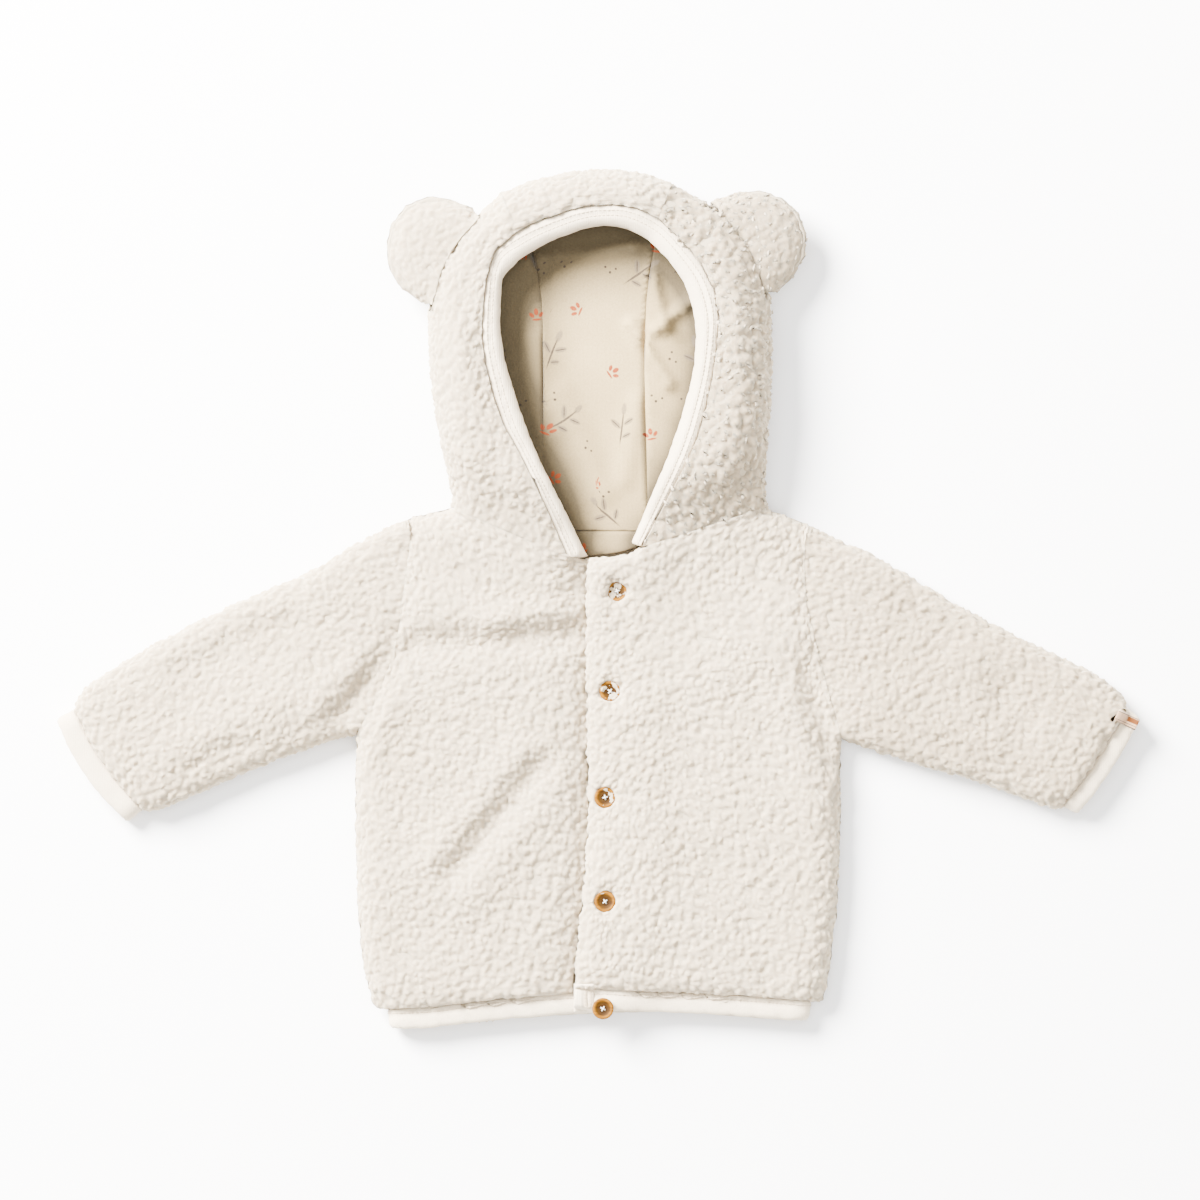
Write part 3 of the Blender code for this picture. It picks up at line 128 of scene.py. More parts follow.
def put(tree, kind, inputs=None, **settings):
    """Adds a node, sets its properties, and fills its inputs with values or links."""
    node = tree.nodes.new(kind)
    for name, value in settings.items():
        setattr(node, name, value)
    for key, value in (inputs or {}).items():
        if isinstance(value, bpy.types.NodeSocket):
            tree.links.new(value, node.inputs[key])
        else:
            node.inputs[key].default_value = value
    return node


def new_material(name):
    """A material, its tree and its Principled shader."""
    made = bpy.data.materials.new(name)
    made.use_nodes = True
    return made, made.node_tree, made.node_tree.nodes["Principled BSDF"]


def new_group(name, kind, takes, gives):
    """A node group, with the sockets it takes values from and the ones it gives them to."""
    tree = bpy.data.node_groups.new(name, kind)
    for label, socket_kind, default in takes:
        socket = tree.interface.new_socket(label, in_out="INPUT", socket_type="NodeSocket" + socket_kind)
        if default is not None:
            socket.default_value = default
    for label, socket_kind in gives:
        tree.interface.new_socket(label, in_out="OUTPUT", socket_type="NodeSocket" + socket_kind)
    return tree, tree.nodes.new("NodeGroupInput").outputs, tree.nodes.new("NodeGroupOutput").inputs


def set_inputs(shader, values):
    """Sets the numbers and colours that are the same all over a surface."""
    for name, value in values.items():
        shader.inputs[name].default_value = value


def dress(tree, shader, colour, height, strength, distance):
    """Gives a shader its colour, and its bump from a height."""
    bump = put(tree, "ShaderNodeBump", {"Height": height, "Strength": strength, "Distance": distance})
    tree.links.new(colour, shader.inputs["Base Color"])
    tree.links.new(bump.outputs["Normal"], shader.inputs["Normal"])


def ramp(tree, factor, stops, interpolation="LINEAR"):
    """A colour ramp from (position, colour) pairs."""
    node = put(tree, "ShaderNodeValToRGB", {"Fac": factor})
    node.color_ramp.interpolation = interpolation
    elements = node.color_ramp.elements
    while len(elements) < len(stops):
        elements.new(0.5)
    for element, (position, colour) in zip(elements, stops):
        element.position, element.color = position, (*colour, 1)
    return node.outputs["Color"]


def solve(tree, operation, *values, **settings):
    """The answer of one Math node."""
    return put(tree, "ShaderNodeMath", dict(enumerate(values)), operation=operation, **settings).outputs[0]


def scaled(tree, vector, factor):
    return put(tree, "ShaderNodeVectorMath", {0: vector, "Scale": factor}, operation="SCALE").outputs[0]


def mapped(tree, value, low=0.0, high=1.0, to_low=0.0, to_high=1.0):
    """A value between two limits, as one between two others."""
    limits = {"From Min": low, "From Max": high, "To Min": to_low, "To Max": to_high}
    return put(tree, "ShaderNodeMapRange", {"Value": value, **limits}).outputs[0]


def speckle(tree, where, scale, detail, output="Fac", **more):
    """Smooth noise at a place."""
    inputs = {"Vector": where, "Scale": scale, "Detail": detail, **more}
    return put(tree, "ShaderNodeTexNoise", inputs).outputs[output]


def stored(tree, name):
    """A material's way to a value that is kept on the mesh."""
    return put(tree, "ShaderNodeAttribute", attribute_name=name).outputs["Fac"]


def on_object(tree):
    """A place on the object, in its own metres."""
    return put(tree, "ShaderNodeTexCoord").outputs["Object"]


# %% Table and light
LIGHTS = [  # name, place in metres, size, power, colour
    ("window", (-2.1, 1.9, 2.1), 2.0, 2300, (1.0, 0.98, 0.955)),
    ("fill", (1.9, -1.2, 2.4), 2.6, 50, (0.96, 0.98, 1.0)),
    ("overhead", (0.0, 0.2, 3.2), 2.6, 130, (1.0, 1.0, 1.0)),
]
SKY_STRENGTH = 1.7
TABLE_HALF = 4.0  # metres
TABLE_WHITE = 0.93


def set_up_light():
    for name, where, size, power, colour in LIGHTS:
        data = bpy.data.lights.new(name, "AREA")
        data.shape = "DISK"
        data.size = size
        data.energy = power
        data.color = colour
        light = bpy.data.objects.new(name, data)
        SCENE.collection.objects.link(light)
        light.location = where
        light.rotation_euler = (-Vector(where)).to_track_quat("-Z", "Y").to_euler()
    world = bpy.data.worlds.new("studio")
    world.use_nodes = True
    world.node_tree.nodes["Background"].inputs["Color"].default_value = (1, 1, 1, 1)
    world.node_tree.nodes["Background"].inputs["Strength"].default_value = SKY_STRENGTH
    SCENE.world = world


def set_up_table():
    mesh = bpy.data.meshes.new("table")
    corners = [(x * TABLE_HALF, y * TABLE_HALF, 0) for x, y in ((-1, -1), (1, -1), (1, 1), (-1, 1))]
    mesh.from_pydata(corners, [], [(0, 1, 2, 3)])
    table = bpy.data.objects.new("table", mesh)
    SCENE.collection.objects.link(table)
    made, _, shader = new_material("white_table")
    set_inputs(shader, {"Base Color": (TABLE_WHITE, TABLE_WHITE, TABLE_WHITE, 1), "Roughness": 0.85})
    table.data.materials.append(made)


set_up_light()
set_up_table()
print("lights", [row[0] for row in LIGHTS])

# %% [markdown]
# ## Which faces show
# A CAD panel is a closed wall of cloth, and only one of its two skins is the outside of the jacket.
# A face is hidden if the next piece lies right against it, or if the jacket is both above and below it.

# %% One tree of every CAD face


def surface_of(things):
    """A tree for finding places on a few meshes."""
    points, faces = [], []
    for thing in things:
        start = len(points)
        points += [v.co.copy() for v in thing.data.vertices]
        faces += [[start + i for i in p.vertices] for p in thing.data.polygons]
    return BVHTree.FromPolygons(points, faces)


WHOLE = surface_of([node for name, node in CAD.items() if not name.startswith("button")])
TOUCHING = 1.5 * MM  # a piece nearer than this hides the face that looks at it
OFF_SKIN, OFF_WALL = 0.02 * MM, 0.3 * MM  # where the rays of the two tests start
UP, DOWN = Vector((0, 0, 1)), Vector((0, 0, -1))
SLANTS = [Vector((math.cos(t), math.sin(t), 0.8)) for t in np.linspace(0, 2 * math.pi, 8, endpoint=False)]


def is_touched(face):
    start = face.calc_center_median() + face.normal * OFF_SKIN
    return WHOLE.ray_cast(start, face.normal, TOUCHING)[0] is not None


def is_covered(face):
    start = face.calc_center_median() + face.normal * OFF_WALL
    return all(WHOLE.ray_cast(start, way)[0] is not None for way in [UP, DOWN] + SLANTS)


def merged(name):
    """A CAD node's triangles, joined into one surface."""
    bm = bmesh.new()
    bm.from_mesh(CAD[name].data)
    bmesh.ops.remove_doubles(bm, verts=bm.verts, dist=0.001 * MM)
    bm.normal_update()
    return bm


def keep_only(bm, faces):
    kept = set(faces)
    bmesh.ops.delete(bm, geom=[f for f in bm.faces if f not in kept], context="FACES")


def as_arrays(bm):
    return np.array([v.co for v in bm.verts]), np.array([v.normal for v in bm.verts])


def area_of(thing):
    return sum(p.area for p in thing.data.polygons)


# %% [markdown]
# ## Folds
# The CAD has few rows, so it only hints at the folds.
# Here they are taken off its corners, and put back on a finer mesh.
# Each fold is a soft ridge or trough along a line. It dies out where the cloth turns over at the edge.

# %% The fold tables, in the pattern's millimetres: from x, y to x, y, width, height
BODY_FOLDS = np.array([
    (-10.0, -7.0, -62.0, -13.0, 9.0, 4.5),
    (-20.0, -19.0, -112.0, -27.0, 9.5, -5.0),
    (-62.0, -13.0, -108.0, -6.0, 14.0, 2.0),
    (-36.0, -97.0, -84.0, -155.0, 8.0, -4.5),
    (-44.0, -88.0, -96.0, -150.0, 10.0, 3.0),
    (-24.0, -108.0, -76.0, -172.0, 12.0, 2.0),
    (-128.0, -42.0, -152.0, -70.0, 7.0, -5.0),
    (-140.0, -34.0, -165.0, -62.0, 9.0, 3.0),
    (-120.0, -60.0, -138.0, -92.0, 9.0, 2.5),
    (122.0, -40.0, 137.0, -92.0, 8.0, -4.5),
    (108.0, -60.0, 124.0, -120.0, 12.0, 2.0),
    (60.0, -150.0, 100.0, -215.0, 16.0, -2.0),
    (25.0, -60.0, 110.0, -20.0, 20.0, 1.5),
    (-110.0, -190.0, -60.0, -215.0, 15.0, -1.5),
    (186.0, -5.0, 200.0, -18.0, 12.0, -3.0),
    (232.0, -52.0, 246.0, -66.0, 12.0, -4.0),
    (165.0, -55.0, 225.0, -82.0, 12.0, 2.0),
    (-190.0, -20.0, -236.0, -44.0, 16.0, -2.5),
    (-180.0, -55.0, -250.0, -92.0, 12.0, 2.0),
    (-205.0, -88.0, -236.0, -100.0, 9.0, -2.5),
])
HOOD_FOLDS = np.array([
    (-84.0, 110.0, -62.0, 82.0, 9.0, -3.5),
    (-80.0, 175.0, -62.0, 205.0, 10.0, -3.0),
    (-88.0, 140.0, -78.0, 90.0, 14.0, 2.0),
    (52.0, 236.0, 40.0, 218.0, 8.0, -4.5),
    (76.0, 190.0, 84.0, 140.0, 14.0, 3.0),
    (84.0, 110.0, 62.0, 70.0, 14.0, 3.5),
    (-30.0, 240.0, 20.0, 242.0, 10.0, 2.0),
])
TURNS_OVER = 11.0  # mm from the jacket's edge over which a fold dies out


def gaps_to(points, lines):
    """Distance from every point to every line segment, in the plan."""
    start, run = lines[:, :2], lines[:, 2:4] - lines[:, :2]
    away = points[:, None] - start
    share = np.clip((away * run).sum(-1) / np.maximum((run**2).sum(-1), 1e-9), 0, 1)
    return np.linalg.norm(away - share[..., None] * run, axis=-1)


def fold_heights(points, folds):
    return (folds[:, 5] * np.exp(-((gaps_to(points, folds) / folds[:, 4]) ** 2))).sum(-1)


def ease(value):
    value = np.clip(value, 0, 1)
    return value * value * (3 - 2 * value)


def turning_lines(bm):
    """Where the surface turns from facing up to facing down, seen from above."""
    lines = []
    for edge in bm.edges:
        if len(edge.link_faces) == 2:
            above = [f.normal.z > 0 for f in edge.link_faces]
            if above[0] != above[1]:
                lines.append(pattern_of([v.co for v in edge.verts]).ravel())
    return np.array(lines)


print("folds", len(BODY_FOLDS) + len(HOOD_FOLDS))

# %% Put the folds on a surface, or take them off


def move_by_folds(bm, folds, lines, sign):
    points, normals = as_arrays(bm)
    plan = pattern_of(points)
    amount = fold_heights(plan, folds)
    if len(lines):
        amount *= ease(gaps_to(plan, lines).min(-1) / TURNS_OVER)
    amount[normals[:, 2] <= 0] = 0
    for vertex, height in zip(bm.verts, amount):
        vertex.co.z += sign * height * MM
    bm.normal_update()


# %% [markdown]
# ## Sherpa panels
# Each panel becomes a thin knitted backing a little inside the CAD's outer skin, and the pile stands on it.
# The CAD's large triangles are cut smaller and relaxed, so that the turns at the sides become round.

# %% Cut long edges, then relax
FINE = 8.0 * MM  # a backing's longest edge, before the pile's tree cuts it finer
BACK_COARSER = 1.6  # the back lies on the table, so its edges are longer
ROUNDS = 5
PILE_DEPTH = 1.6 * MM  # how far a backing lies inside the CAD's skin
EAR_DEPTH = 0.7  # the share of that depth on an ear
BACKING = 1.6 * MM  # a backing's own thickness
SEAM_REACH = 0.25 * MM  # how far a piece goes on past its seam
SEAM_SEARCH = 4.0 * MM
BASE_LOWEST, SHOWN_LOWEST = 0.9 * MM, 0.1 * MM  # over the table
TOP_SIDE = 8.0 * MM  # what is higher than this is on the jacket's top


def pile_depth(name):
    return PILE_DEPTH * (EAR_DEPTH if name.startswith("ear") else 1)


def refine(bm, longest):
    for _ in range(ROUNDS):
        long_edges = [e for e in bm.edges if e.calc_length() > longest]
        if not long_edges:
            break
        bmesh.ops.subdivide_edges(bm, edges=long_edges, cuts=1)
        bmesh.ops.triangulate(bm, faces=bm.faces)
    bm.normal_update()


def relax(bm, times):
    inner = [v for v in bm.verts if not v.is_boundary]
    for _ in range(times):
        bmesh.ops.smooth_vert(bm, verts=inner, factor=0.5, use_axis_x=True, use_axis_y=True, use_axis_z=True)
    bm.normal_update()


def widen(bm, out, down=0.0):
    """Lets a surface's edges reach on past the seam, so that no slit is left between two pieces."""
    ways = {}
    for edge in bm.edges:
        if edge.is_boundary:
            face = edge.link_faces[0]
            away = (edge.verts[0].co + edge.verts[1].co) / 2 - face.calc_center_median()
            along = (edge.verts[1].co - edge.verts[0].co).normalized()
            away -= along * away.dot(along)
            for vertex in edge.verts:
                ways[vertex] = ways.get(vertex, Vector()) + away.normalized()
    if not down:
        for vertex, way in ways.items():
            vertex.co += way.normalized() * out
        return
    made = bmesh.ops.extrude_edge_only(bm, edges=[e for e in bm.edges if e.is_boundary])
    for vertex in made["geom"]:
        if isinstance(vertex, bmesh.types.BMVert):
            old = min(ways, key=lambda v: (v.co - vertex.co).length_squared)
            vertex.co += ways[old].normalized() * out - old.normal * down
    bm.normal_update()


def way_out(vertex):
    """The way out of the cloth, which the pieces on the two sides of a seam share."""
    total = vertex.normal.copy()
    if vertex.is_boundary:
        for _, normal, _, _ in WHOLE.find_nearest_range(vertex.co, SEAM_SEARCH):
            if normal.dot(vertex.normal) > 0.3:
                total += normal
        total.normalize()
    return total


def sink(bm, depth, ways, upright):
    """Moves a surface inwards, or straight down by the share that is to stay upright."""
    for vertex, way, share in zip(bm.verts, ways, upright):
        vertex.co -= Vector((way.x * (1 - share), way.y * (1 - share), way.z)) * depth
        vertex.co.z = max(vertex.co.z, BASE_LOWEST)
    bm.normal_update()


def keep_above_table(thing):
    for vertex in thing.data.vertices:
        vertex.co.z = max(vertex.co.z, SHOWN_LOWEST)


def to_object(bm, name):
    mesh = bpy.data.meshes.new(name)
    bm.to_mesh(mesh)
    bm.free()
    mesh.shade_smooth()
    made = bpy.data.objects.new(name, mesh)
    SCENE.collection.objects.link(made)
    return made


def store(mesh, name, values):
    """Keeps a number or a vector for each of a mesh's points."""
    values = np.asarray(values, np.float32)
    kind, field = ("FLOAT", "value") if values.ndim == 1 else ("FLOAT_VECTOR", "vector")
    mesh.attributes.new(name, kind, "POINT").data.foreach_set(field, values.ravel())


# %% Seams and edges, in the pattern's millimetres
PLACKET = [(-14.5, -224.5), (-9.3, -174.0), (-5.8, -127.0), (-7.0, -58.0), (-7.0, 0.0), (-5.8, 24.2)]
OPENING = [
    (-19.1, 24.3), (-33.1, 56.3), (-48.1, 87.0), (-59.2, 108.5), (-67.9, 145.0), (-67.9, 168.0), (-66.1, 186.2),
    (-62.5, 199.5), (-54.0, 208.8), (-41.8, 216.3), (-23.2, 223.5), (-10.0, 227.4), (3.0, 228.5), (18.0, 227.5),
    (34.2, 220.5), (48.1, 207.1), (61.5, 189.7), (68.4, 171.1), (68.4, 152.5), (63.8, 121.8), (53.9, 87.0),
    (36.5, 52.2), (24.9, 30.4)]
OPENING_INNER = [
    (-7.0, 24.9), (-18.0, 48.1), (-37.1, 87.0), (-48.1, 117.7), (-56.3, 146.7), (-57.0, 167.0), (-56.3, 187.3),
    (-52.0, 193.5), (-46.4, 196.0), (-31.0, 205.3), (-9.3, 214.0), (2.0, 215.8), (10.0, 215.6), (18.6, 212.9),
    (31.9, 204.7), (44.1, 189.7), (51.6, 175.7), (55.1, 152.5), (52.2, 125.9), (42.3, 92.8), (30.7, 63.8),
    (17.4, 31.3)]
HEM_SEAM = [(-128.8, -238.4), (-98.6, -237.2), (-75.4, -234.3), (-46.4, -231.4), (-16.8, -229.1), (0.0, -226.6),
            (18.6, -227.6), (58.0, -229.0), (92.8, -231.3), (128.2, -234.3)]


def smooth_path(points, steps=8):
    """A curve through the points, as many short straight pieces."""
    points = np.array(points, float)
    ends = np.vstack([2 * points[0] - points[1], points, 2 * points[-1] - points[-2]])
    t = np.linspace(0, 1, steps, endpoint=False)[:, None]
    made = []
    for a, b, c, d in zip(ends, ends[1:], ends[2:], ends[3:]):
        curve = 2 * b + (c - a) * t + (2 * a - 5 * b + 4 * c - d) * t**2 + (3 * b - a - 3 * c + d) * t**3
        made.append(0.5 * curve)
    return np.vstack(made + [points[-1:]])


def evenly(path, count):
    """Points at equal steps along a path."""
    far = np.concatenate([[0], np.cumsum(np.linalg.norm(np.diff(path, axis=0), axis=1))])
    at = np.linspace(0, far[-1], count)
    return np.stack([np.interp(at, far, path[:, axis]) for axis in range(path.shape[1])], axis=1)


def near_path(plan, path, reach):
    """1 on a path, and 0 further from it than its reach."""
    lines = np.hstack([path[:-1], path[1:]])
    return 1 - ease(gaps_to(plan, lines).min(-1) / reach)


def over_edge(plan, path, reach):
    return near_path(plan, smooth_path(path), reach)


# %% The panels, and how loose locks lie on them
CUT = {  # the flat cut of what shows, as width and length in metres
    "back": (0.30, 0.33), "front_right": (0.16, 0.31), "front_left": (0.17, 0.31),
    "sleeve_right": (0.27, 0.23), "sleeve_left": (0.27, 0.23), "hood_side_right": (0.14, 0.30),
    "hood_side_left": (0.14, 0.30), "hood_centre": (0.11, 0.40), "ear_right_front": (0.06, 0.07),
    "ear_right_back": (0.06, 0.07), "ear_left_front": (0.06, 0.07), "ear_left_back": (0.06, 0.07)}
SHAGGY = {"hood_side_left": 1.2, "ear_left_front": 1.05}  # the panels with loose locks, and the locks' size
HOOD_MIDDLE = (0.0, 140.0)
ALONG_SLEEVE = (0.88, -0.47)
SEAM_HEIGHT, LOOSE_HEIGHT = 0.36, 0.0  # how much of the pile's relief is left at a seam, and at a loose edge


def flow_of(name, points):
    """The way loose locks lie: outwards on the ear, and away from the opening on the hood's side."""
    plan = pattern_of(points)
    if name.startswith("ear"):
        way = np.tile((0.7, 0.3), (len(plan), 1))
    else:
        way = plan - np.array(HOOD_MIDDLE)
        way = way / np.linalg.norm(way, axis=1)[:, None] + np.array((0, -0.35))
        way -= 1.3 * over_edge(plan, OPENING, 4.0)[:, None] * way
    return np.concatenate([way, np.zeros((len(plan), 1))], axis=1)


def bare_of(points):
    """Above a half where the needle has pressed the pile away beside a band."""
    return over_edge(pattern_of(points), HEM_SEAM, 3.8) * (points[:, 2] > TOP_SIDE)


def ends_sleeve(name, face):
    """Whether a face is part of a sleeve's flat end, where the cuff's band is sewn on."""
    side = {"sleeve_right": -1, "sleeve_left": 1}.get(name, 0)
    return side != 0 and face.normal.dot(Vector((ALONG_SLEEVE[0] * side, ALONG_SLEEVE[1], 0))) > 0.75


def sherpa_base(name):
    """A panel's backing, with what its pile has to know at each point."""
    bm = merged(name)
    lines = turning_lines(bm)
    keep_only(bm, [f for f in bm.faces if ends_sleeve(name, f) or not is_touched(f) and not is_covered(f)])
    folds = HOOD_FOLDS if name.startswith("hood") else BODY_FOLDS
    folded = not name.startswith("ear")
    if folded:
        move_by_folds(bm, folds, lines, -1)
    refine(bm, FINE * (BACK_COARSER if name == "back" else 1))
    relax(bm, 6)
    if folded:
        move_by_folds(bm, folds, lines, 1)
    widen(bm, SEAM_REACH)
    plan = pattern_of(as_arrays(bm)[0])
    placket = [PLACKET] if name == "front_left" else []
    upright = over_edge(plan, PLACKET, 8.0) if placket else np.zeros(len(plan))
    loose = sum(over_edge(plan, path, 2.5) for path in placket + [HEM_SEAM])
    at_edge = [LOOSE_HEIGHT if share > 0.3 else SEAM_HEIGHT for share in loose]
    inside = [height if v.is_boundary else 1.0 for v, height in zip(bm.verts, at_edge)]
    ways = [way_out(v) for v in bm.verts]
    sink(bm, pile_depth(name), ways, upright)
    base = to_object(bm, "base_" + name)
    points = np.array([v.co for v in base.data.vertices])
    store(base.data, "inside", inside)
    store(base.data, "out", ways)
    store(base.data, "bare", bare_of(points))
    if name in SHAGGY:
        store(base.data, "flow", flow_of(name, points))
    return base


BASES = {name: sherpa_base(name) for name in CUT}
for name, base in BASES.items():
    print(name, len(base.data.polygons), "faces", round(area_of(base) * 1e4, 1), "cm2")

# %% [markdown]
# ## Sherpa finish
# The fibres are off-white polyester: bright and soft at grazing angles. Their colour is painted darker and
# warmer down in the pile, toward the roots: painted shade.
# Sheen gives the soft rim. On the matted pile, light under the surface keeps the hollows pale.

# %% Wool colours as a node group
# From root to tip: the lower stops are the painted shade down in the pile.
WOOL_STOPS_WITH_ROOT_SHADE = [(0.0, (0.26, 0.204, 0.13)), (0.3, (0.33, 0.268, 0.184)), (0.55, (0.385, 0.318, 0.225)),
              (1.0, (0.60, 0.50, 0.365))]


def wool_group():
    """Colour and bump height of curled fibres, from a lock's shade and how near its tip is. Toward the root the
    colour is painted darker: painted shade.
    """
    tree, given, out = new_group("curled_wool", "ShaderNodeTree", [
        ("Shade", "Float", 0.5), ("Tip", "Float", 0.5), ("Fibre Size", "Float", 900.0)],
        [("Color", "Color"), ("Height", "Float")])
    where = on_object(tree)
    fibres = speckle(tree, where, given["Fibre Size"], 3.0, Roughness=0.6)
    # Painted shade: the colour is painted darker toward a lock's root, down in the pile.
    depth = solve(tree, "MULTIPLY", given["Tip"], 0.62)
    shade = solve(tree, "MULTIPLY", given["Shade"], 0.16)
    drift = solve(tree, "MULTIPLY", speckle(tree, where, 22.0, 2.0), 0.22)
    total = solve(tree, "ADD", solve(tree, "ADD", depth, shade), drift)
    tree.links.new(ramp(tree, total, WOOL_STOPS_WITH_ROOT_SHADE), out["Color"])
    tree.links.new(fibres, out["Height"])
    return tree


WOOL = wool_group()


def wool_material(name, tip=None, glow=0.0):
    made, tree, shader = new_material(name)
    group = put(tree, "ShaderNodeGroup", node_tree=WOOL)
    if tip is None:
        tree.links.new(stored(tree, "shade"), group.inputs["Shade"])
        tree.links.new(stored(tree, "tip"), group.inputs["Tip"])
    else:
        group.inputs["Tip"].default_value = tip
    dress(tree, shader, group.outputs["Color"], group.outputs["Height"], 0.3, 0.0004)
    set_inputs(shader, {
        "Roughness": 0.85, "Specular IOR Level": 0.1, "Sheen Weight": 0.12, "Sheen Roughness": 0.5,
        "Sheen Tint": (1.0, 0.93, 0.82, 1), "Subsurface Weight": glow, "Subsurface Radius": (1.0, 0.9, 0.75),
        "Subsurface Scale": 0.003})
    return made


PILE_FINISH = wool_material("sherpa_curls")
MATTED_FINISH = wool_material("sherpa_pile", glow=1.0)
BACKING_FINISH = wool_material("sherpa_backing", tip=0.5)

# %% [markdown]
# ## One lock of pile
# A loose lock is a small curl of fibres, wider than a hair and bent over like a comma.
# Real hair curves would be far too many, so a lock is a closed tube of a few faces, in five variants.

# %% Five locks
LOCK_SIDES = 3
LOCK_PATH = [(0.0, -1.2, -1.6, 0.9), (0.0, -0.4, -0.3, 1.4), (0.5, 1.3, -0.2, 1.2)]  # x, y, z, radius in mm
LOCK_TIP = (1.1, 3.2, -0.9)
LOCK_LEANS = (0.0, 0.35, 1.0)  # how far each ring is tipped over
LOCK_FLAT = 0.6
LOCK_KINDS = 5


def lock_mesh(index):
    draw = random.Random(40 + index)
    bend, lift, fat = draw.uniform(-1.4, 1.4), draw.uniform(0.88, 1.12), draw.uniform(0.85, 1.15)
    points, faces, tips = [], [], []
    for ring, ((x, y, z, radius), lean) in enumerate(zip(LOCK_PATH, LOCK_LEANS)):
        share = ring / len(LOCK_PATH)
        for k in range(LOCK_SIDES):
            turn = 2 * math.pi * (k + 0.5) / LOCK_SIDES + 0.5 * ring
            across, along = radius * fat * math.cos(turn), radius * fat * math.sin(turn)
            points.append(((x + bend * share**2 + across) * MM, (y + along * (1 - LOCK_FLAT * lean)) * MM,
                           (z * lift + along * LOCK_FLAT * lean) * MM))
            tips.append(share)
    points.append(((LOCK_TIP[0] + bend) * MM, LOCK_TIP[1] * MM, LOCK_TIP[2] * lift * MM))
    tips.append(1.0)
    for ring in range(len(LOCK_PATH) - 1):
        for k in range(LOCK_SIDES):
            a, b = ring * LOCK_SIDES + k, ring * LOCK_SIDES + (k + 1) % LOCK_SIDES
            faces.append((a, b, b + LOCK_SIDES, a + LOCK_SIDES))
    last = (len(LOCK_PATH) - 1) * LOCK_SIDES
    for k in range(LOCK_SIDES):
        faces.append((last + k, last + (k + 1) % LOCK_SIDES, len(points) - 1))
    faces.append(tuple(range(LOCK_SIDES - 1, -1, -1)))
    mesh = bpy.data.meshes.new(f"lock_{index}")
    mesh.from_pydata(points, [], faces)
    store(mesh, "tip", tips)
    mesh.shade_smooth()
    return mesh


LOCKS = bpy.data.collections.new("locks")
for index in range(LOCK_KINDS):
    LOCKS.objects.link(bpy.data.objects.new(f"lock_{index}", lock_mesh(index)))

# %% [markdown]
# ## Growing the pile
# The curls of this pile are matted.
# A finer copy of each backing is raised in soft lumps, like curls seen from afar.
# The left hood side and the left front ear are shaggier, so Geometry Nodes also scatter loose locks over them.
# Poisson spacing keeps the locks apart, and each one is turned to the cloth and to the way the pile lies.
# No lock grows close to a button, because it presses the pile flat.

# %% The tree that grows pile
GROUND, DOMES, CLUMPS, STRANDS = 0.6, -2.5, 1.5, 0.8  # what the relief is made of, and how much of each
LUMP_BEND = 2.4 * MM
MOST_LOCKS = 400000.0  # to the square metre, before Poisson spacing thins them
LEVEL_ROOM = 1.1 * MM  # how near to a hard thing the relief sinks to nothing
RELIEF_UNIT = 1.25  # the weights above are for this part of the pile's depth


def named(tree, name, kind="FLOAT"):
    return put(tree, "GeometryNodeInputNamedAttribute", {"Name": name}, data_type=kind).outputs[0]


def sum_of(tree, *parts):
    """Adds up fields, each given with its factor."""
    total = 0.0
    for field, factor in parts:
        total = solve(tree, "MULTIPLY_ADD", field, factor, total)
    return total


def gap_to_hard(tree, g):
    """How far each place is from the hard things, as a Proximity node."""
    hard = put(tree, "GeometryNodeObjectInfo", {"Object": g["Clear Of"]}, transform_space="RELATIVE")
    return put(tree, "GeometryNodeProximity", {"Geometry": hard.outputs["Geometry"]}, target_element="FACES")


def kept_as(tree, geometry, name, value, kind="FLOAT"):
    inputs = {"Geometry": geometry, "Name": name, "Value": value}
    return put(tree, "GeometryNodeStoreNamedAttribute", inputs, data_type=kind, domain="POINT").outputs[0]


def curled_relief(tree, g):
    """The pile's matted outer surface: a finer copy of the backing, raised in soft lumps."""
    fine = put(tree, "GeometryNodeSubdivideMesh", {"Mesh": g["Geometry"], "Level": g["Cuts"]})
    where = put(tree, "GeometryNodeInputPosition").outputs[0]
    wander = speckle(tree, where, 260.0, 1.0, "Color")
    bent = put(tree, "ShaderNodeVectorMath", {0: wander, 1: (LUMP_BEND, LUMP_BEND, LUMP_BEND), 2: where},
               operation="MULTIPLY_ADD")
    scale = solve(tree, "DIVIDE", 1.0, g["Lump"])
    cells = put(tree, "ShaderNodeTexVoronoi", {"Vector": bent.outputs[0], "Scale": scale, "Smoothness": 0.6},
                feature="SMOOTH_F1")
    dome = solve(tree, "POWER", cells.outputs["Distance"], 1.6)
    clumps = speckle(tree, where, 85.0, 1.5)
    strands = speckle(tree, where, 640.0, 1.0)
    height = sum_of(tree, (GROUND, 1.0), (dome, DOMES), (clumps, CLUMPS), (strands, STRANDS))
    room = mapped(tree, gap_to_hard(tree, g).outputs["Distance"], 0.0, LEVEL_ROOM)
    edge = solve(tree, "MULTIPLY", named(tree, "inside"), 2.5, use_clamp=True)
    flat = mapped(tree, named(tree, "bare"), 0.3, 0.6, 1.0, 0.2)
    for mask in (room, edge, flat, solve(tree, "DIVIDE", g["Depth"], RELIEF_UNIT)):
        height = solve(tree, "MULTIPLY", height, mask)
    lift = scaled(tree, named(tree, "out", "FLOAT_VECTOR"), height)
    raised = put(tree, "GeometryNodeSetPosition", {"Geometry": fine.outputs[0], "Offset": lift})
    # The relief's colour is set by its panel's tone, which carries that panel's painted light and shade.
    marked = kept_as(tree, raised.outputs[0], "tip", g["Tone With Painted Shade"])
    return put(tree, "GeometryNodeSetShadeSmooth", {"Geometry": marked}).outputs[0]


def drawn(tree, kind, least, most, seed, **more):
    """A random value for each point: a number, or a whole number."""
    first = {"FLOAT": 2, "INT": 4}[kind]
    inputs = {first: least, first + 1: most, "Seed": seed, **more}
    return put(tree, "FunctionNodeRandomValue", inputs, data_type=kind).outputs[first // 2]


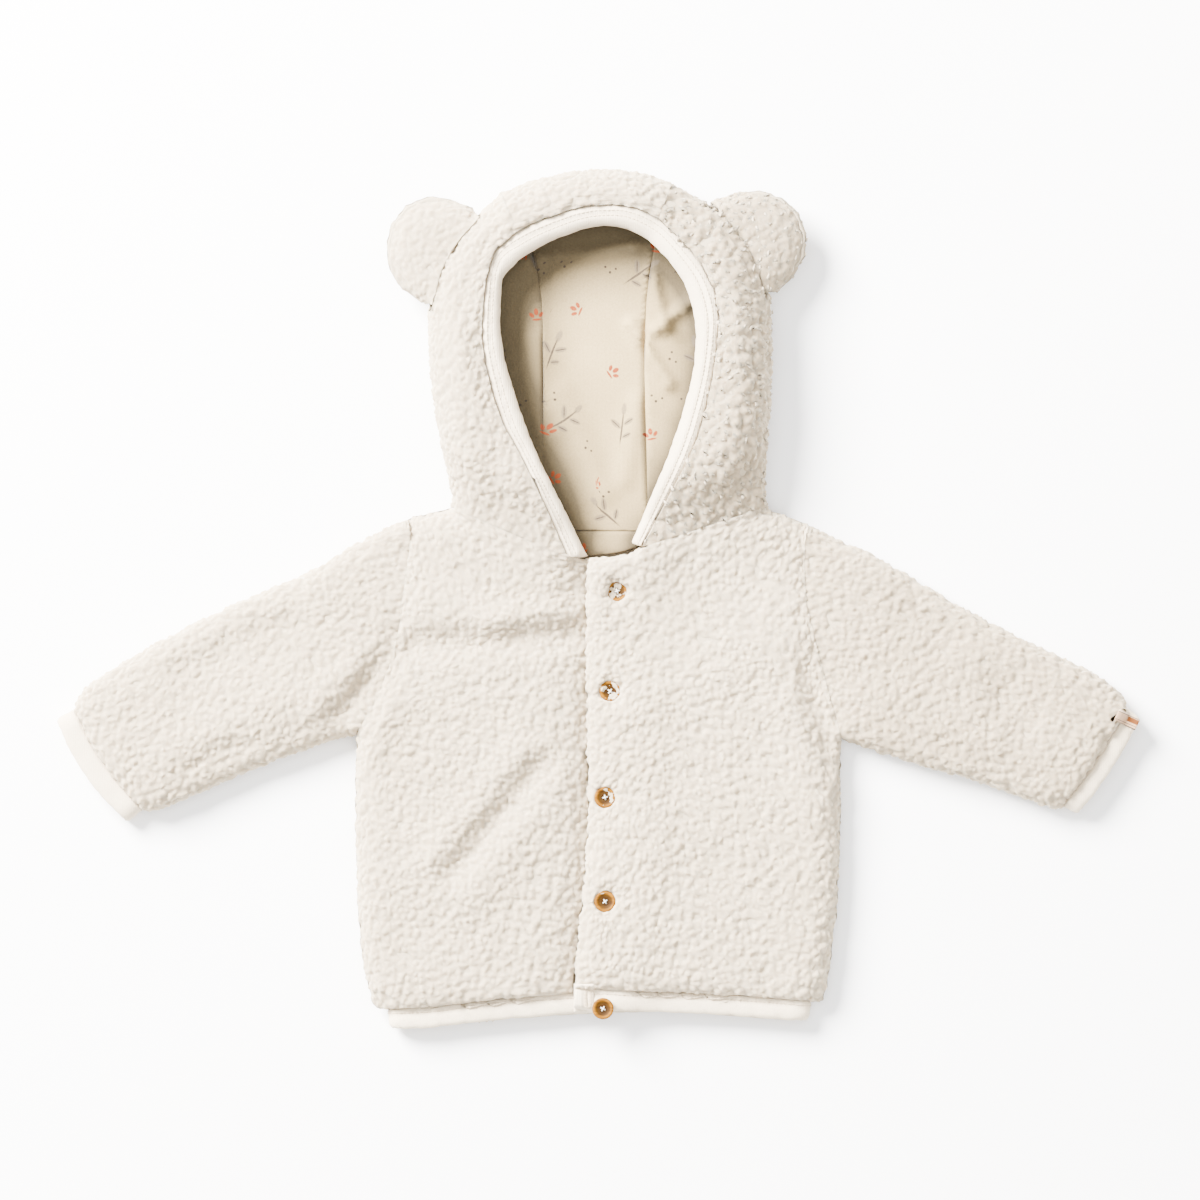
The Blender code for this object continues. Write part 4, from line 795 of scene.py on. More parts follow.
def lock_turns(tree, g, normal):
    """Each lock's rotation: upright on the cloth, combed along the pile, then turned and tipped a little."""
    upright = put(tree, "FunctionNodeAlignRotationToVector", {"Vector": normal}, axis="Z")
    swirl = speckle(tree, put(tree, "GeometryNodeInputPosition").outputs[0], 55.0, 2.0, "Color")
    swirl = put(tree, "ShaderNodeVectorMath", {0: swirl, 1: (0.5, 0.5, 0.5)}, operation="SUBTRACT").outputs[0]
    flow = named(tree, "flow", "FLOAT_VECTOR")
    lie = put(tree, "ShaderNodeVectorMath", {0: flow, 1: scaled(tree, swirl, 4.0)}, operation="ADD")
    turned = put(tree, "FunctionNodeAlignRotationToVector", {
        "Rotation": upright.outputs[0], "Vector": lie.outputs[0]}, axis="Y", pivot_axis="Z").outputs[0]
    turn = drawn(tree, "FLOAT", solve(tree, "MULTIPLY", g["Mess"], -1.0), g["Mess"], 3,
                 ID=put(tree, "GeometryNodeInputIndex").outputs[0])
    for axis, angle in (((0, 0, 1), turn), ((1, 0, 0), drawn(tree, "FLOAT", -0.12, 0.14, 4))):
        by = put(tree, "FunctionNodeAxisAngleToRotation", {"Axis": axis, "Angle": angle}).outputs[0]
        turned = put(tree, "FunctionNodeRotateRotation", {0: turned, 1: by}, rotation_space="LOCAL").outputs[0]
    return turned


def pile_tree():
    tree, g, out = new_group("grow_pile", "GeometryNodeTree", [
        ("Geometry", "Geometry", None), ("Spacing", "Float", 4.4 * MM), ("Locks", "Collection", None),
        ("Smallest", "Float", 0.75), ("Largest", "Float", 1.25), ("Mess", "Float", 0.65),
        ("Clear Of", "Object", None), ("Clearance", "Float", 0.6 * MM), ("Seed", "Int", 1),
        ("Material", "Material", None), ("Matted Material", "Material", None), ("Cuts", "Int", 2),
        ("Depth", "Float", PILE_DEPTH), ("Lump", "Float", 3.2 * MM), ("Tone With Painted Shade", "Float", 0.6),
        ("Lock Share", "Float", 0.0)], [("Geometry", "Geometry")])
    relief = curled_relief(tree, g)
    points = put(tree, "GeometryNodeDistributePointsOnFaces", {
        "Mesh": relief, "Distance Min": g["Spacing"], "Density Max": MOST_LOCKS,
        "Density Factor": g["Lock Share"], "Seed": g["Seed"]}, distribute_method="POISSON")
    near = gap_to_hard(tree, g)
    crowded = put(tree, "FunctionNodeCompare", {"A": near.outputs["Distance"], "B": g["Clearance"]},
                  data_type="FLOAT", operation="LESS_THAN").outputs["Result"]
    crowded = put(tree, "FunctionNodeBooleanMath", {0: crowded, 1: near.outputs["Is Valid"]}, operation="AND")
    bare = put(tree, "FunctionNodeCompare", {"A": named(tree, "bare"), "B": 0.5}, data_type="FLOAT",
               operation="GREATER_THAN")
    unwanted = put(tree, "FunctionNodeBooleanMath", {0: crowded.outputs[0], 1: bare.outputs["Result"]},
                   operation="OR")
    kept = put(tree, "GeometryNodeDeleteGeometry", {
        "Geometry": points.outputs["Points"], "Selection": unwanted.outputs[0]}, domain="POINT").outputs[0]
    picked = put(tree, "GeometryNodeCollectionInfo", {
        "Collection": g["Locks"], "Separate Children": True, "Reset Children": True})
    marked = kept_as(tree, kept, "shade", drawn(tree, "FLOAT", 0.0, 1.0, 7))
    grown = put(tree, "GeometryNodeInstanceOnPoints", {
        "Points": kept_as(tree, marked, "lock", True, "BOOLEAN"), "Instance": picked.outputs[0],
        "Pick Instance": True, "Instance Index": drawn(tree, "INT", 0, LOCK_KINDS - 1, 6),
        "Rotation": lock_turns(tree, g, points.outputs["Normal"]),
        "Scale": drawn(tree, "FLOAT", g["Smallest"], g["Largest"], 5)})
    both = put(tree, "GeometryNodeJoinGeometry")
    for part in (relief, grown.outputs[0]):
        tree.links.new(part, both.inputs[0])
    real = put(tree, "GeometryNodeRealizeInstances", {"Geometry": both.outputs[0]})
    matted = put(tree, "GeometryNodeSetMaterial", {
        "Geometry": real.outputs[0], "Material": g["Matted Material"]})
    finished = put(tree, "GeometryNodeSetMaterial", {
        "Geometry": matted.outputs[0], "Selection": named(tree, "lock", "BOOLEAN"), "Material": g["Material"]})
    tree.links.new(finished.outputs[0], out["Geometry"])
    return tree


PILE = pile_tree()


def made_by(tree, source, values, name):
    """Runs a tree on an object and gives back the result as a plain mesh."""
    modifier = source.modifiers.new(name, "NODES")
    modifier.node_group = tree
    for item in tree.interface.items_tree:
        if item.item_type == "SOCKET" and item.in_out == "INPUT" and item.name in values:
            modifier[item.identifier] = values[item.name]
    source.update_tag()
    bpy.context.view_layer.update()
    evaluated = source.evaluated_get(bpy.context.evaluated_depsgraph_get())
    mesh = bpy.data.meshes.new_from_object(evaluated)
    source.modifiers.remove(modifier)
    mesh.name = name
    made = bpy.data.objects.new(name, mesh)
    SCENE.collection.objects.link(made)
    return made


def triangles(thing):
    return sum(len(p.vertices) - 2 for p in thing.data.polygons)


# %% [markdown]
# ## Buttons
# Five wooden buttons with a raised rim, a dished middle and four holes, sewn on with white thread.

# %% Turn a button on a lathe
BUTTON_PROFILE = [(0.0, 1.1), (2.2, 1.12), (3.9, 1.35), (4.5, 1.75), (4.95, 2.0), (5.45, 2.02), (5.95, 1.75),
                  (6.22, 1.2), (6.25, 0.6), (6.0, 0.15), (5.4, 0.0), (0.0, 0.0)]  # radius, height in mm
BUTTON_SIDES = 40
SUNK = [1.55, 1.75, 1.85, 1.4, 0.0]  # mm: how far the pile has taken each button in
SPINS = [0.3, 0.9, 0.2, 0.6, 1.1]  # radians: how each button has turned on its thread
HOLE_OFF, HOLE_RADIUS = 1.2, 0.6
# The dish's darkness is painted shade, and the rim is painted paler.
RIM_FROM, RIM_OVER = 3.6, 1.3  # mm: where the wood turns from the dark dish to the light rim
THREAD_RADIUS, THREAD_RISE = 0.26 * MM, 1.55
HALF_BUTTON = 2.1 * MM  # from the CAD button's middle down to where the turned one stands


def lathe(profile, sides, name):
    bm = bmesh.new()
    rings = []
    for radius, height in profile:
        if radius == 0:
            rings.append([bm.verts.new((0, 0, height * MM))])
        else:
            rings.append([bm.verts.new((radius * MM * math.cos(t), radius * MM * math.sin(t), height * MM))
                          for t in np.linspace(0, 2 * math.pi, sides, endpoint=False)])
    for one, two in zip(rings, rings[1:]):
        for k in range(sides):
            corners = [one[k % len(one)], one[(k + 1) % len(one)], two[(k + 1) % len(two)], two[k % len(two)]]
            bm.faces.new(list(dict.fromkeys(corners)))
    bmesh.ops.recalc_face_normals(bm, faces=bm.faces)
    return to_object(bm, name)


def applied(thing, modifier):
    """Makes a modifier's result the object's own mesh."""
    mesh = bpy.data.meshes.new_from_object(thing.evaluated_get(bpy.context.evaluated_depsgraph_get()))
    thing.modifiers.remove(modifier)
    thing.data = mesh


def drill(thing, places, radius, height):
    """Cuts round holes through a piece with a Boolean, and applies it."""
    bm = bmesh.new()
    for x, y in places:
        made = bmesh.ops.create_cone(bm, cap_ends=True, segments=14, radius1=radius * MM, radius2=radius * MM,
                                     depth=height * MM)
        bmesh.ops.translate(bm, verts=made["verts"], vec=(x * MM, y * MM, 0))
    cutter = to_object(bm, "cutter")
    modifier = thing.modifiers.new("holes", "BOOLEAN")
    modifier.object, modifier.operation, modifier.solver = cutter, "DIFFERENCE", "EXACT"
    applied(thing, modifier)
    bpy.data.objects.remove(cutter)
    thing.data.shade_smooth()
    thing.data.set_sharp_from_angle(angle=math.radians(35))


# %% Wood and thread


def wood_material():
    """Wood with its grain along the button, painted darker in the dish and paler on the rim: painted shade in
    the dish.
    """
    made, tree, shader = new_material("button_wood")
    stretched = put(tree, "ShaderNodeMapping", {
        "Vector": on_object(tree), "Scale": (140.0, 900.0, 300.0), "Rotation": (0, 0, 0.5)})
    grain = speckle(tree, stretched.outputs[0], 1.0, 4.0, Roughness=0.6, Distortion=0.4)
    colour = ramp(tree, grain, [(0.28, (0.05, 0.0165, 0.0003)), (0.48, (0.10, 0.038, 0.0005)),
                                (0.72, (0.155, 0.064, 0.0009))])
    # Painted shade: the wood is painted darker in the dish and paler on the rim.
    ink_wear_and_dish_shade = mapped(tree, stored(tree, "rim"), to_low=0.2, to_high=1.25)
    dress(tree, shader, scaled(tree, colour, ink_wear_and_dish_shade), grain, 0.25, 0.0002)
    set_inputs(shader, {"Roughness": 0.65, "Specular IOR Level": 0.08})
    return made


def thread_material(name, colour):
    made, tree, shader = new_material(name)
    twist = speckle(tree, on_object(tree), 1800.0, 1.0)
    dark = tuple(c * 0.82 for c in colour)
    dress(tree, shader, ramp(tree, twist, [(0.3, dark), (0.7, colour)]), twist, 0.5, 0.0002)
    set_inputs(shader, {"Roughness": 0.7})
    return made


WOOD = wood_material()
THREAD = thread_material("white_thread", (0.86, 0.85, 0.82))

# %% Sit each button where its CAD button is


def tube(points, radius, sides, name):
    """A closed round thread along a few points."""
    bm = bmesh.new()
    rings = []
    for i, point in enumerate(points):
        ahead = (points[min(i + 1, len(points) - 1)] - points[max(i - 1, 0)]).normalized()
        side = ahead.cross(Vector((0.13, 0.21, 0.97))).normalized()
        up = side.cross(ahead)
        rings.append([bm.verts.new(point + radius * (math.cos(t) * side + math.sin(t) * up))
                      for t in np.linspace(0, 2 * math.pi, sides, endpoint=False)])
    for one, two in zip(rings, rings[1:]):
        for k in range(sides):
            bm.faces.new((one[k], one[(k + 1) % sides], two[(k + 1) % sides], two[k]))
    bm.faces.new(rings[0][::-1])
    bm.faces.new(rings[-1])
    bmesh.ops.recalc_face_normals(bm, faces=bm.faces)
    return to_object(bm, name)


def joined(pieces, name):
    """Several meshes as one object."""
    bm = bmesh.new()
    for piece in pieces:
        bm.from_mesh(piece.data)
    for piece in pieces:
        bpy.data.objects.remove(piece)
    return to_object(bm, name)


def cad_tilt(node):
    """The way the CAD button's top faces: the mean of its upward faces."""
    total = Vector()
    for polygon in CAD[node].data.polygons:
        if polygon.normal.z > 0.7:
            total += polygon.normal * polygon.area
    return total.normalized()


def sewn_button(index):
    node = f"button_{index + 1}"
    low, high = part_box(node)
    middle = (low + high) / 2
    facing = cad_tilt(node).to_track_quat("Z", "Y").to_matrix().to_4x4()
    spin = SPINS[index]
    body = lathe(BUTTON_PROFILE, BUTTON_SIDES, f"wood_{node}")
    turns = [spin + k * math.pi / 2 for k in range(4)]
    holes = [(HOLE_OFF * math.cos(turn), HOLE_OFF * math.sin(turn)) for turn in turns]
    drill(body, holes, HOLE_RADIUS, 8.0)
    out = np.array([math.hypot(v.co.x, v.co.y) for v in body.data.vertices]) / MM
    store(body.data, "rim", ease((out - RIM_FROM) / RIM_OVER))
    threads = []
    for k, (one, two) in enumerate([(0, 2), (1, 3)]):
        a, b = (Vector((*holes[i], 0.2)) * MM for i in (one, two))
        rise = Vector((0, 0, (THREAD_RISE + 0.12 * k) * MM))
        path = [a, a + rise * 0.75, a * 0.75 + b * 0.25 + rise, a * 0.25 + b * 0.75 + rise, b + rise * 0.75, b]
        threads.append(tube(path, THREAD_RADIUS, 6, f"thread_{k}"))
    thread = joined(threads, f"thread_{node}")
    rise = Vector((0, 0, (high.z - low.z) / 2 - HALF_BUTTON - SUNK[index] * MM))
    for piece, finish in ((body, WOOD), (thread, THREAD)):
        piece.data.transform(facing)
        piece.data.transform(Matrix.Translation(middle + facing @ rise))
        piece.data.materials.clear()
        piece.data.materials.append(finish)
    return body, thread


BUTTONS = [sewn_button(index) for index in range(5)]
for index, (body, thread) in enumerate(BUTTONS):
    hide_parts(f"button_{index + 1}")
    for piece, finish in ((body, "wood"), (thread, "jersey")):
        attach(piece, "root")
print("buttons", [triangles(b) for b, _ in BUTTONS])

# %% [markdown]
# ## The band's front end
# Beside the lowest button the jersey band turns up over the sherpa.
# It has a folded end, and in it a small stitched buttonhole.
# It is made before the pile, because no pile grows through it.

# %% Lay a small patch on the front
END_LOW, END_HIGH = (-15.2, -239.0), (-3.4, -222.3)  # the patch's two corners, in the pattern's millimetres
END_ACROSS, END_ALONG = 24, 30  # how many faces it has each way
FOLDED_TO = -10.0  # where the doubled fold steps down to a single layer
STEP_WIDE, STEP_DOWN = 1.4, 0.8
HOLE_MIDDLE, HOLE_LONG, HOLE_WIDE = (-7.0, -230.0), 6.4, 1.5


def band_end():
    """The band's end: it follows the cloth below it, steps down at its fold, and has a slit and thin edges."""
    bm = bmesh.new()
    rows, height = [], 0.02
    for j in range(END_ALONG + 1):
        row = []
        for i in range(END_ACROSS + 1):
            x = END_LOW[0] + (END_HIGH[0] - END_LOW[0]) * i / END_ACROSS
            y = END_LOW[1] + (END_HIGH[1] - END_LOW[1]) * j / END_ALONG
            found, _, _, _ = WHOLE.ray_cast(place(x, y, 100), DOWN)
            height = height if found is None or found.z < TOP_SIDE else found.z
            found = Vector((*place(x, y, 0).xy, height))
            fold = 1.0 - STEP_DOWN * float(ease(np.array((x - FOLDED_TO + STEP_WIDE / 2) / STEP_WIDE)))
            slit = math.exp(-(((x - HOLE_MIDDLE[0]) / 0.45) ** 2))
            slit *= abs(y - HOLE_MIDDLE[1]) < HOLE_LONG - 0.8
            edge = min(i, END_ACROSS - i, j, END_ALONG - j) == 0
            row.append(bm.verts.new(found + Vector((0, 0, (0.35 + fold - 0.5 * slit - 0.9 * edge) * MM))))
        rows.append(row)
    for one, two in zip(rows, rows[1:]):
        for i in range(END_ACROSS):
            bm.faces.new((one[i], one[i + 1], two[i + 1], two[i]))
    relax(bm, 2)
    return to_object(bm, "jersey_band_end")

BAND_END = band_end()
print("band end", triangles(BAND_END))

# %% Grow the pile on every panel
COARSE = ("back", "ear_right_back", "ear_left_back")
# Painted light and shade: each panel's pile is painted paler or darker by its tone. The wearer's left hood
# side, front ear and sleeve, away from the window, are painted darker; the fronts are painted paler.
PAINTED_LIGHT_AND_SHADE_TONES = {  # how pale the pile is, from 0 to 1, so that each panel comes near its tone in the photo
    "hood_side_left": 0.12, "ear_left_front": 0.12, "sleeve_left": 0.4, "front_right": 0.72,
    "front_left": 0.75}
SHAGGY_RELIEF = {"Lump": 4.6 * MM, "Depth": PILE_DEPTH * 1.25}
SMALLEST, LARGEST = 0.75, 1.25
PRESSED_BELOW = 1.6  # mm: pile under this height lies pressed between the jacket and the table


def hard_things():
    bm = bmesh.new()
    for piece in [body for body, _ in BUTTONS] + [BAND_END, CAD["cuff_tab"]]:
        bm.from_mesh(piece.data)
    return to_object(bm, "hard_things")


def thick(thing, amount):
    """Gives a surface its thickness inwards, and applies it."""
    modifier = thing.modifiers.new("wall", "SOLIDIFY")
    modifier.thickness, modifier.offset = amount, -1
    applied(thing, modifier)


def press(thing):
    """Squeezes what would go through the table into the last millimetre and a half above it."""
    points = np.zeros(len(thing.data.vertices) * 3)
    thing.data.vertices.foreach_get("co", points)
    z = points[2::3] / MM
    lowest = SHOWN_LOWEST / MM
    room = PRESSED_BELOW - lowest
    points[2::3] = np.where(z < PRESSED_BELOW, lowest + room * np.exp((z - PRESSED_BELOW) / room), z) * MM
    thing.data.vertices.foreach_set("co", points)
    thing.data.update()


CLEAR = hard_things()
PILES = {}
for name, base in BASES.items():
    values = {"Locks": LOCKS, "Clear Of": CLEAR, "Seed": len(PILES) + 1, "Material": PILE_FINISH,
              "Matted Material": MATTED_FINISH, "Depth": pile_depth(name)}
    if name in SHAGGY:
        smallest, largest = SMALLEST * SHAGGY[name], LARGEST * SHAGGY[name]
        values.update({"Lock Share": 1.0, "Smallest": smallest, "Largest": largest})
    if name in PAINTED_LIGHT_AND_SHADE_TONES:
        values["Tone With Painted Shade"] = PAINTED_LIGHT_AND_SHADE_TONES[name]
    if name == "hood_side_left":
        values.update(SHAGGY_RELIEF)
    if name in COARSE:
        values["Cuts"] = 1
    PILES[name] = made_by(PILE, base, values, "pile_" + name)
    press(PILES[name])
    print(name, "pile", triangles(PILES[name]))
bpy.data.objects.remove(CLEAR)
print("pile in all", sum(triangles(p) for p in PILES.values()))

for name, base in BASES.items():
    thick(base, BACKING)
    keep_above_table(base)
    base.data.materials.clear()
    base.data.materials.append(BACKING_FINISH)
    base.name = "sherpa_" + name
    width, length = CUT[name]
    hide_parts(name)
    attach(base, "root")
    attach(PILES[name], "root")

# %% [markdown]
# ## Jersey
# The bindings are smooth cream jersey: a knitted strip folded over the raw edge of the sherpa.
# Jersey has fine upright wales of small loops. A wave gives the wales and cells give the loops, both as bump.
# A strip is a thin folded shell on the CAD's form, with shallow uneven wrinkles.

# %% Knitted jersey as a node group


def jersey_group():
    """Colour drift and bump height of fine jersey."""
    tree, given, out = new_group("fine_jersey", "ShaderNodeTree", [
        ("Light", "Color", (1, 1, 1, 1)), ("Dark", "Color", (0.8, 0.8, 0.8, 1)),
        ("Wale Scale", "Float", 300.0)], [("Color", "Color"), ("Height", "Float")])
    where = on_object(tree)
    wales = put(tree, "ShaderNodeTexWave", {
        "Vector": where, "Scale": given["Wale Scale"], "Distortion": 1.5, "Detail": 1.0, "Detail Scale": 3.0})
    loops = put(tree, "ShaderNodeTexVoronoi", {"Vector": where, "Scale": 1500.0})
    shade = solve(tree, "MULTIPLY", speckle(tree, where, 35.0, 3.0), speckle(tree, where, 900.0, 2.0))
    mixed = put(tree, "ShaderNodeMix", {
        0: mapped(tree, shade, 0.12, 0.38), 6: given["Dark"], 7: given["Light"]}, data_type="RGBA")
    tree.links.new(mixed.outputs[2], out["Color"])
    tree.links.new(solve(tree, "MULTIPLY", wales.outputs["Fac"], loops.outputs["Distance"]), out["Height"])
    return tree


JERSEY_KNIT = jersey_group()


def knitted(tree, light, dark, wales):
    """The knit in two colours: its colour, and its height."""
    knit = put(tree, "ShaderNodeGroup", node_tree=JERSEY_KNIT)
    set_inputs(knit, {"Light": (*light, 1), "Dark": (*dark, 1), "Wale Scale": wales})
    return knit.outputs["Color"], knit.outputs["Height"]


def cloth_shader(shader, sheen):
    set_inputs(shader, {"Roughness": 0.82, "Sheen Weight": sheen, "Sheen Tint": (1.0, 0.95, 0.88, 1),
                        "Specular IOR Level": 0.22})


def jersey_material():
    made, tree, shader = new_material("cream_jersey")
    colour, height = knitted(tree, (0.64, 0.54, 0.395), (0.57, 0.47, 0.335), 300.0)
    dress(tree, shader, colour, height, 0.6, 0.00025)
    cloth_shader(shader, 0.2)
    return made


JERSEY = jersey_material()

# %% Folded strips
JERSEY_PIECES = {"hood_binding": (0.026, 0.56), "hem_binding": (0.024, 0.53),
                 "cuff_binding_right": (0.026, 0.15), "cuff_binding_left": (0.022, 0.14)}
STRIP_FINE, STRIP_WALL = 3.7 * MM, 0.8 * MM
STRIP_REACH, BINDING_REACH = 1.8 * MM, 0.7 * MM  # how far a strip goes on under the pile
TURNED_DOWN = 1.4 * MM
WRINKLE_SIZE, WRINKLE_HEIGHT = 11 * MM, 0.35 * MM
GROOVE_SHARE = 0.44  # the groove's place, from the binding's outer edge to its inner one
HEM_GROOVE = 1.6  # mm below the hem's seam


def between(one, two, share, count=260):
    """A path part of the way from one path to another."""
    return evenly(smooth_path(one), count) * (1 - share) + evenly(smooth_path(two), count) * share


def wrinkle(bm, size, height, seed):
    """Shallow uneven wrinkles on a strip, from smooth noise."""
    for vertex in bm.verts:
        if not vertex.is_boundary:
            amount = noise.noise(vertex.co / size + Vector((seed, 0, 0)))
            amount += 0.5 * noise.noise(vertex.co * 2.3 / size)
            vertex.co += vertex.normal * amount * height
    bm.normal_update()


def groove(bm, path, reach, depth):
    """Presses a line of stitches into a piece."""
    points, normals = as_arrays(bm)
    for vertex, amount in zip(bm.verts, near_path(pattern_of(points), path, reach) * (normals[:, 2] > 0.3)):
        vertex.co.z -= depth * MM * amount
    bm.normal_update()


def folded_strip(name):
    bm = merged(name)
    keep_only(bm, [f for f in bm.faces if not is_touched(f)])
    refine(bm, STRIP_FINE)
    relax(bm, 5)
    wrinkle(bm, WRINKLE_SIZE, WRINKLE_HEIGHT, len(name))
    if name == "hem_binding":
        groove(bm, smooth_path(HEM_SEAM) - np.array((0, HEM_GROOVE)), 2.4, 1.3)
    widen(bm, BINDING_REACH if name == "hood_binding" else STRIP_REACH, down=TURNED_DOWN)
    if name == "hood_binding":
        groove(bm, between(OPENING, OPENING_INNER, GROOVE_SHARE, 90), 2.2, 0.9)
    return to_object(bm, "jersey_" + name)


STRIPS = {name: folded_strip(name) for name in JERSEY_PIECES}
for name, piece in STRIPS.items():
    width, length = JERSEY_PIECES[name]
    thick(piece, STRIP_WALL)
    keep_above_table(piece)
    piece.data.materials.append(JERSEY)
    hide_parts(name)
    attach(piece, "root")

thick(BAND_END, STRIP_WALL)
BAND_END.data.materials.append(JERSEY)
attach(BAND_END, "root")

# %% [markdown]
# ## Stitches
# Two lines of short stitches hold the hood's binding down, and one line holds the hem's band.
# Geometry Nodes repeat one small stitch along a path that lies on the cloth, so one number sets its pitch.

# %% One stitch, and the tree that sews


def one_stitch(length):
    half = length / 2
    path = [Vector((x * half, 0, z * MM)) for x, z in ((-1, -0.28), (-0.6, 0.1), (0.6, 0.1), (1, -0.28))]
    return tube(path, 0.27 * MM, 4, "one_stitch")


def sewing_tree():
    tree, g, out = new_group("sew_along", "GeometryNodeTree", [
        ("Geometry", "Geometry", None), ("Pitch", "Float", 2.6 * MM), ("Stitch", "Object", None),
        ("Turn", "Float", 0.0), ("Material", "Material", None)], [("Geometry", "Geometry")])
    line = put(tree, "GeometryNodeMeshToCurve", {"Mesh": g["Geometry"]})
    points = put(tree, "GeometryNodeCurveToPoints", {"Curve": line.outputs[0], "Length": g["Pitch"]},
                 mode="LENGTH")
    ahead = put(tree, "FunctionNodeAlignRotationToVector", {"Vector": points.outputs["Tangent"]}, axis="X")
    flat = put(tree, "FunctionNodeAlignRotationToVector", {
        "Rotation": ahead.outputs[0], "Vector": named(tree, "up", "FLOAT_VECTOR")}, axis="Z", pivot_axis="X")
    turn = put(tree, "FunctionNodeAxisAngleToRotation", {"Axis": (0, 0, 1), "Angle": g["Turn"]})
    turned = put(tree, "FunctionNodeRotateRotation", {0: flat.outputs[0], 1: turn.outputs[0]},
                 rotation_space="LOCAL")
    stitch = put(tree, "GeometryNodeObjectInfo", {"Object": g["Stitch"]}, transform_space="ORIGINAL")
    sewn = put(tree, "GeometryNodeInstanceOnPoints", {
        "Points": points.outputs[0], "Instance": stitch.outputs["Geometry"], "Rotation": turned.outputs[0]})
    real = put(tree, "GeometryNodeRealizeInstances", {"Geometry": sewn.outputs[0]})
    finished = put(tree, "GeometryNodeSetMaterial", {"Geometry": real.outputs[0], "Material": g["Material"]})
    tree.links.new(finished.outputs[0], out["Geometry"])
    return tree


SEW = sewing_tree()



def laid_on(surface, path, lift):
    """The points of a path on top of a surface, and the way it faces there."""
    places, ups = [], []
    for x, y in path:
        found, normal, _, _ = surface.ray_cast(place(x, y, 100), DOWN)
        if found is not None:
            places.append(found + normal * lift)
            ups.append(normal)
    return places, ups


def sewn_line(name, places, ups, values):
    mesh = bpy.data.meshes.new(name + "_path")
    mesh.from_pydata(places, [(i, i + 1) for i in range(len(places) - 1)], [])
    store(mesh, "up", ups)
    line = bpy.data.objects.new(name + "_path", mesh)
    SCENE.collection.objects.link(line)
    made = made_by(SEW, line, values, name)
    bpy.data.objects.remove(line)
    return made


# %% Sew the bindings
BINDING_THREAD = thread_material("binding_thread", (0.55, 0.44, 0.30))
STITCH = one_stitch(2.0 * MM)
STITCH_LIFT = 0.12 * MM
HOOD_LINES = (0.27, 0.5)  # from the binding's outer edge to its inner one
HEM_LINE = -1.7  # mm from the hem's seam


def shifted(path, across, count=260):
    """A path moved sideways, to its left."""
    points = evenly(smooth_path(path), count)
    run = np.gradient(points, axis=0)
    run /= np.linalg.norm(run, axis=1)[:, None]
    return points + across * np.stack([-run[:, 1], run[:, 0]], axis=1)


def sewn_on(piece, name, paths, values):
    surface = surface_of([piece])
    rows = [sewn_line(f"{name}_{i}", *laid_on(surface, path, STITCH_LIFT), values)
            for i, path in enumerate(paths)]
    made = joined(rows, name)
    made.data.materials.append(values["Material"])
    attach(made, "root")
    print(name, triangles(made))
    return made


sewing = {"Pitch": 2.5 * MM, "Stitch": STITCH, "Material": BINDING_THREAD}
hood_paths = [between(OPENING, OPENING_INNER, share) for share in HOOD_LINES]
sewn_on(STRIPS["hood_binding"], "stitches_hood", hood_paths, sewing)
sewn_on(STRIPS["hem_binding"], "stitches_hem", [shifted(HEM_SEAM, HEM_LINE)], sewing)
hole = [(HOLE_MIDDLE[0] + HOLE_WIDE * math.cos(t), HOLE_MIDDLE[1] + HOLE_LONG * math.sin(t))
        for t in np.linspace(0, 2 * math.pi, 60)]
sewn_on(BAND_END, "stitches_buttonhole", [np.array(hole)], {**sewing, "Pitch": 0.8 * MM, "Turn": math.pi / 2})

# %% [markdown]
# ## Hood lining
# The hood is lined with fine cotton jersey, printed with small sprigs, berries and dots on cream.
# The print is drawn by the material: cells give each motif its place and turn, and ellipses make its parts.
# The lining hangs loose in the hood, so it has a few soft folds, which are laid one by one.
# In the photo it is palest where it faces the window, so its colour is painted by how open each place is:
# painted shade where the hood's walls hide the sky and the window, painted light where it is open.

# %% Print motifs as a node group
SOFT_EDGE = 3.0

def ellipse(tree, local, centre, radii, turn):
    """1 inside a turned ellipse around a motif's own middle, with a soft edge."""
    moved = put(tree, "ShaderNodeMapping", {
        "Vector": local, "Location": (*centre, 0), "Rotation": (0, 0, turn)}, vector_type="TEXTURE")
    flat = put(tree, "ShaderNodeVectorMath", {0: moved.outputs[0], 1: (1 / radii[0], 1 / radii[1], 0)},
               operation="MULTIPLY")
    far = put(tree, "ShaderNodeVectorMath", {0: flat.outputs[0]}, operation="LENGTH").outputs["Value"]
    return solve(tree, "MULTIPLY", solve(tree, "SUBTRACT", 1.0, far), SOFT_EDGE, use_clamp=True)


def merged_masks(tree, masks):
    total = masks[0]
    for mask in masks[1:]:
        total = solve(tree, "MAXIMUM", total, mask)
    return total


SPRIG = [((0, -2.0), (0.55, 9.0), 0.0), ((4.2, 2.6), (4.4, 1.9), 0.6), ((-4.2, 0.2), (4.6, 2.0), -0.6),
         ((3.8, -5.6), (3.8, 1.7), 0.5), ((0, 9.2), (2.0, 4.2), 0.0)]  # centre, radii in mm, turn
VEINS = [((0, -2.0), (0.8, 11.0), 0.0), ((4.2, 2.6), (4.0, 0.5), 0.6), ((-4.2, 0.2), (4.2, 0.5), -0.6),
         ((3.8, -5.6), (3.4, 0.5), 0.5)]
BUDS = [((0, 2.2), (1.5, 2.4), 0.0), ((-2.7, 0.5), (1.2, 2.1), 0.7), ((2.7, 0.5), (1.2, 2.1), -0.7),
        ((0, -2.2), (3.2, 0.7), 0.0)]
DOTS = [((0, 0), (0.9, 0.9), 0.0), ((3.4, 2.0), (0.8, 0.8), 0.0), ((-2.6, 3.2), (0.8, 0.8), 0.0)]
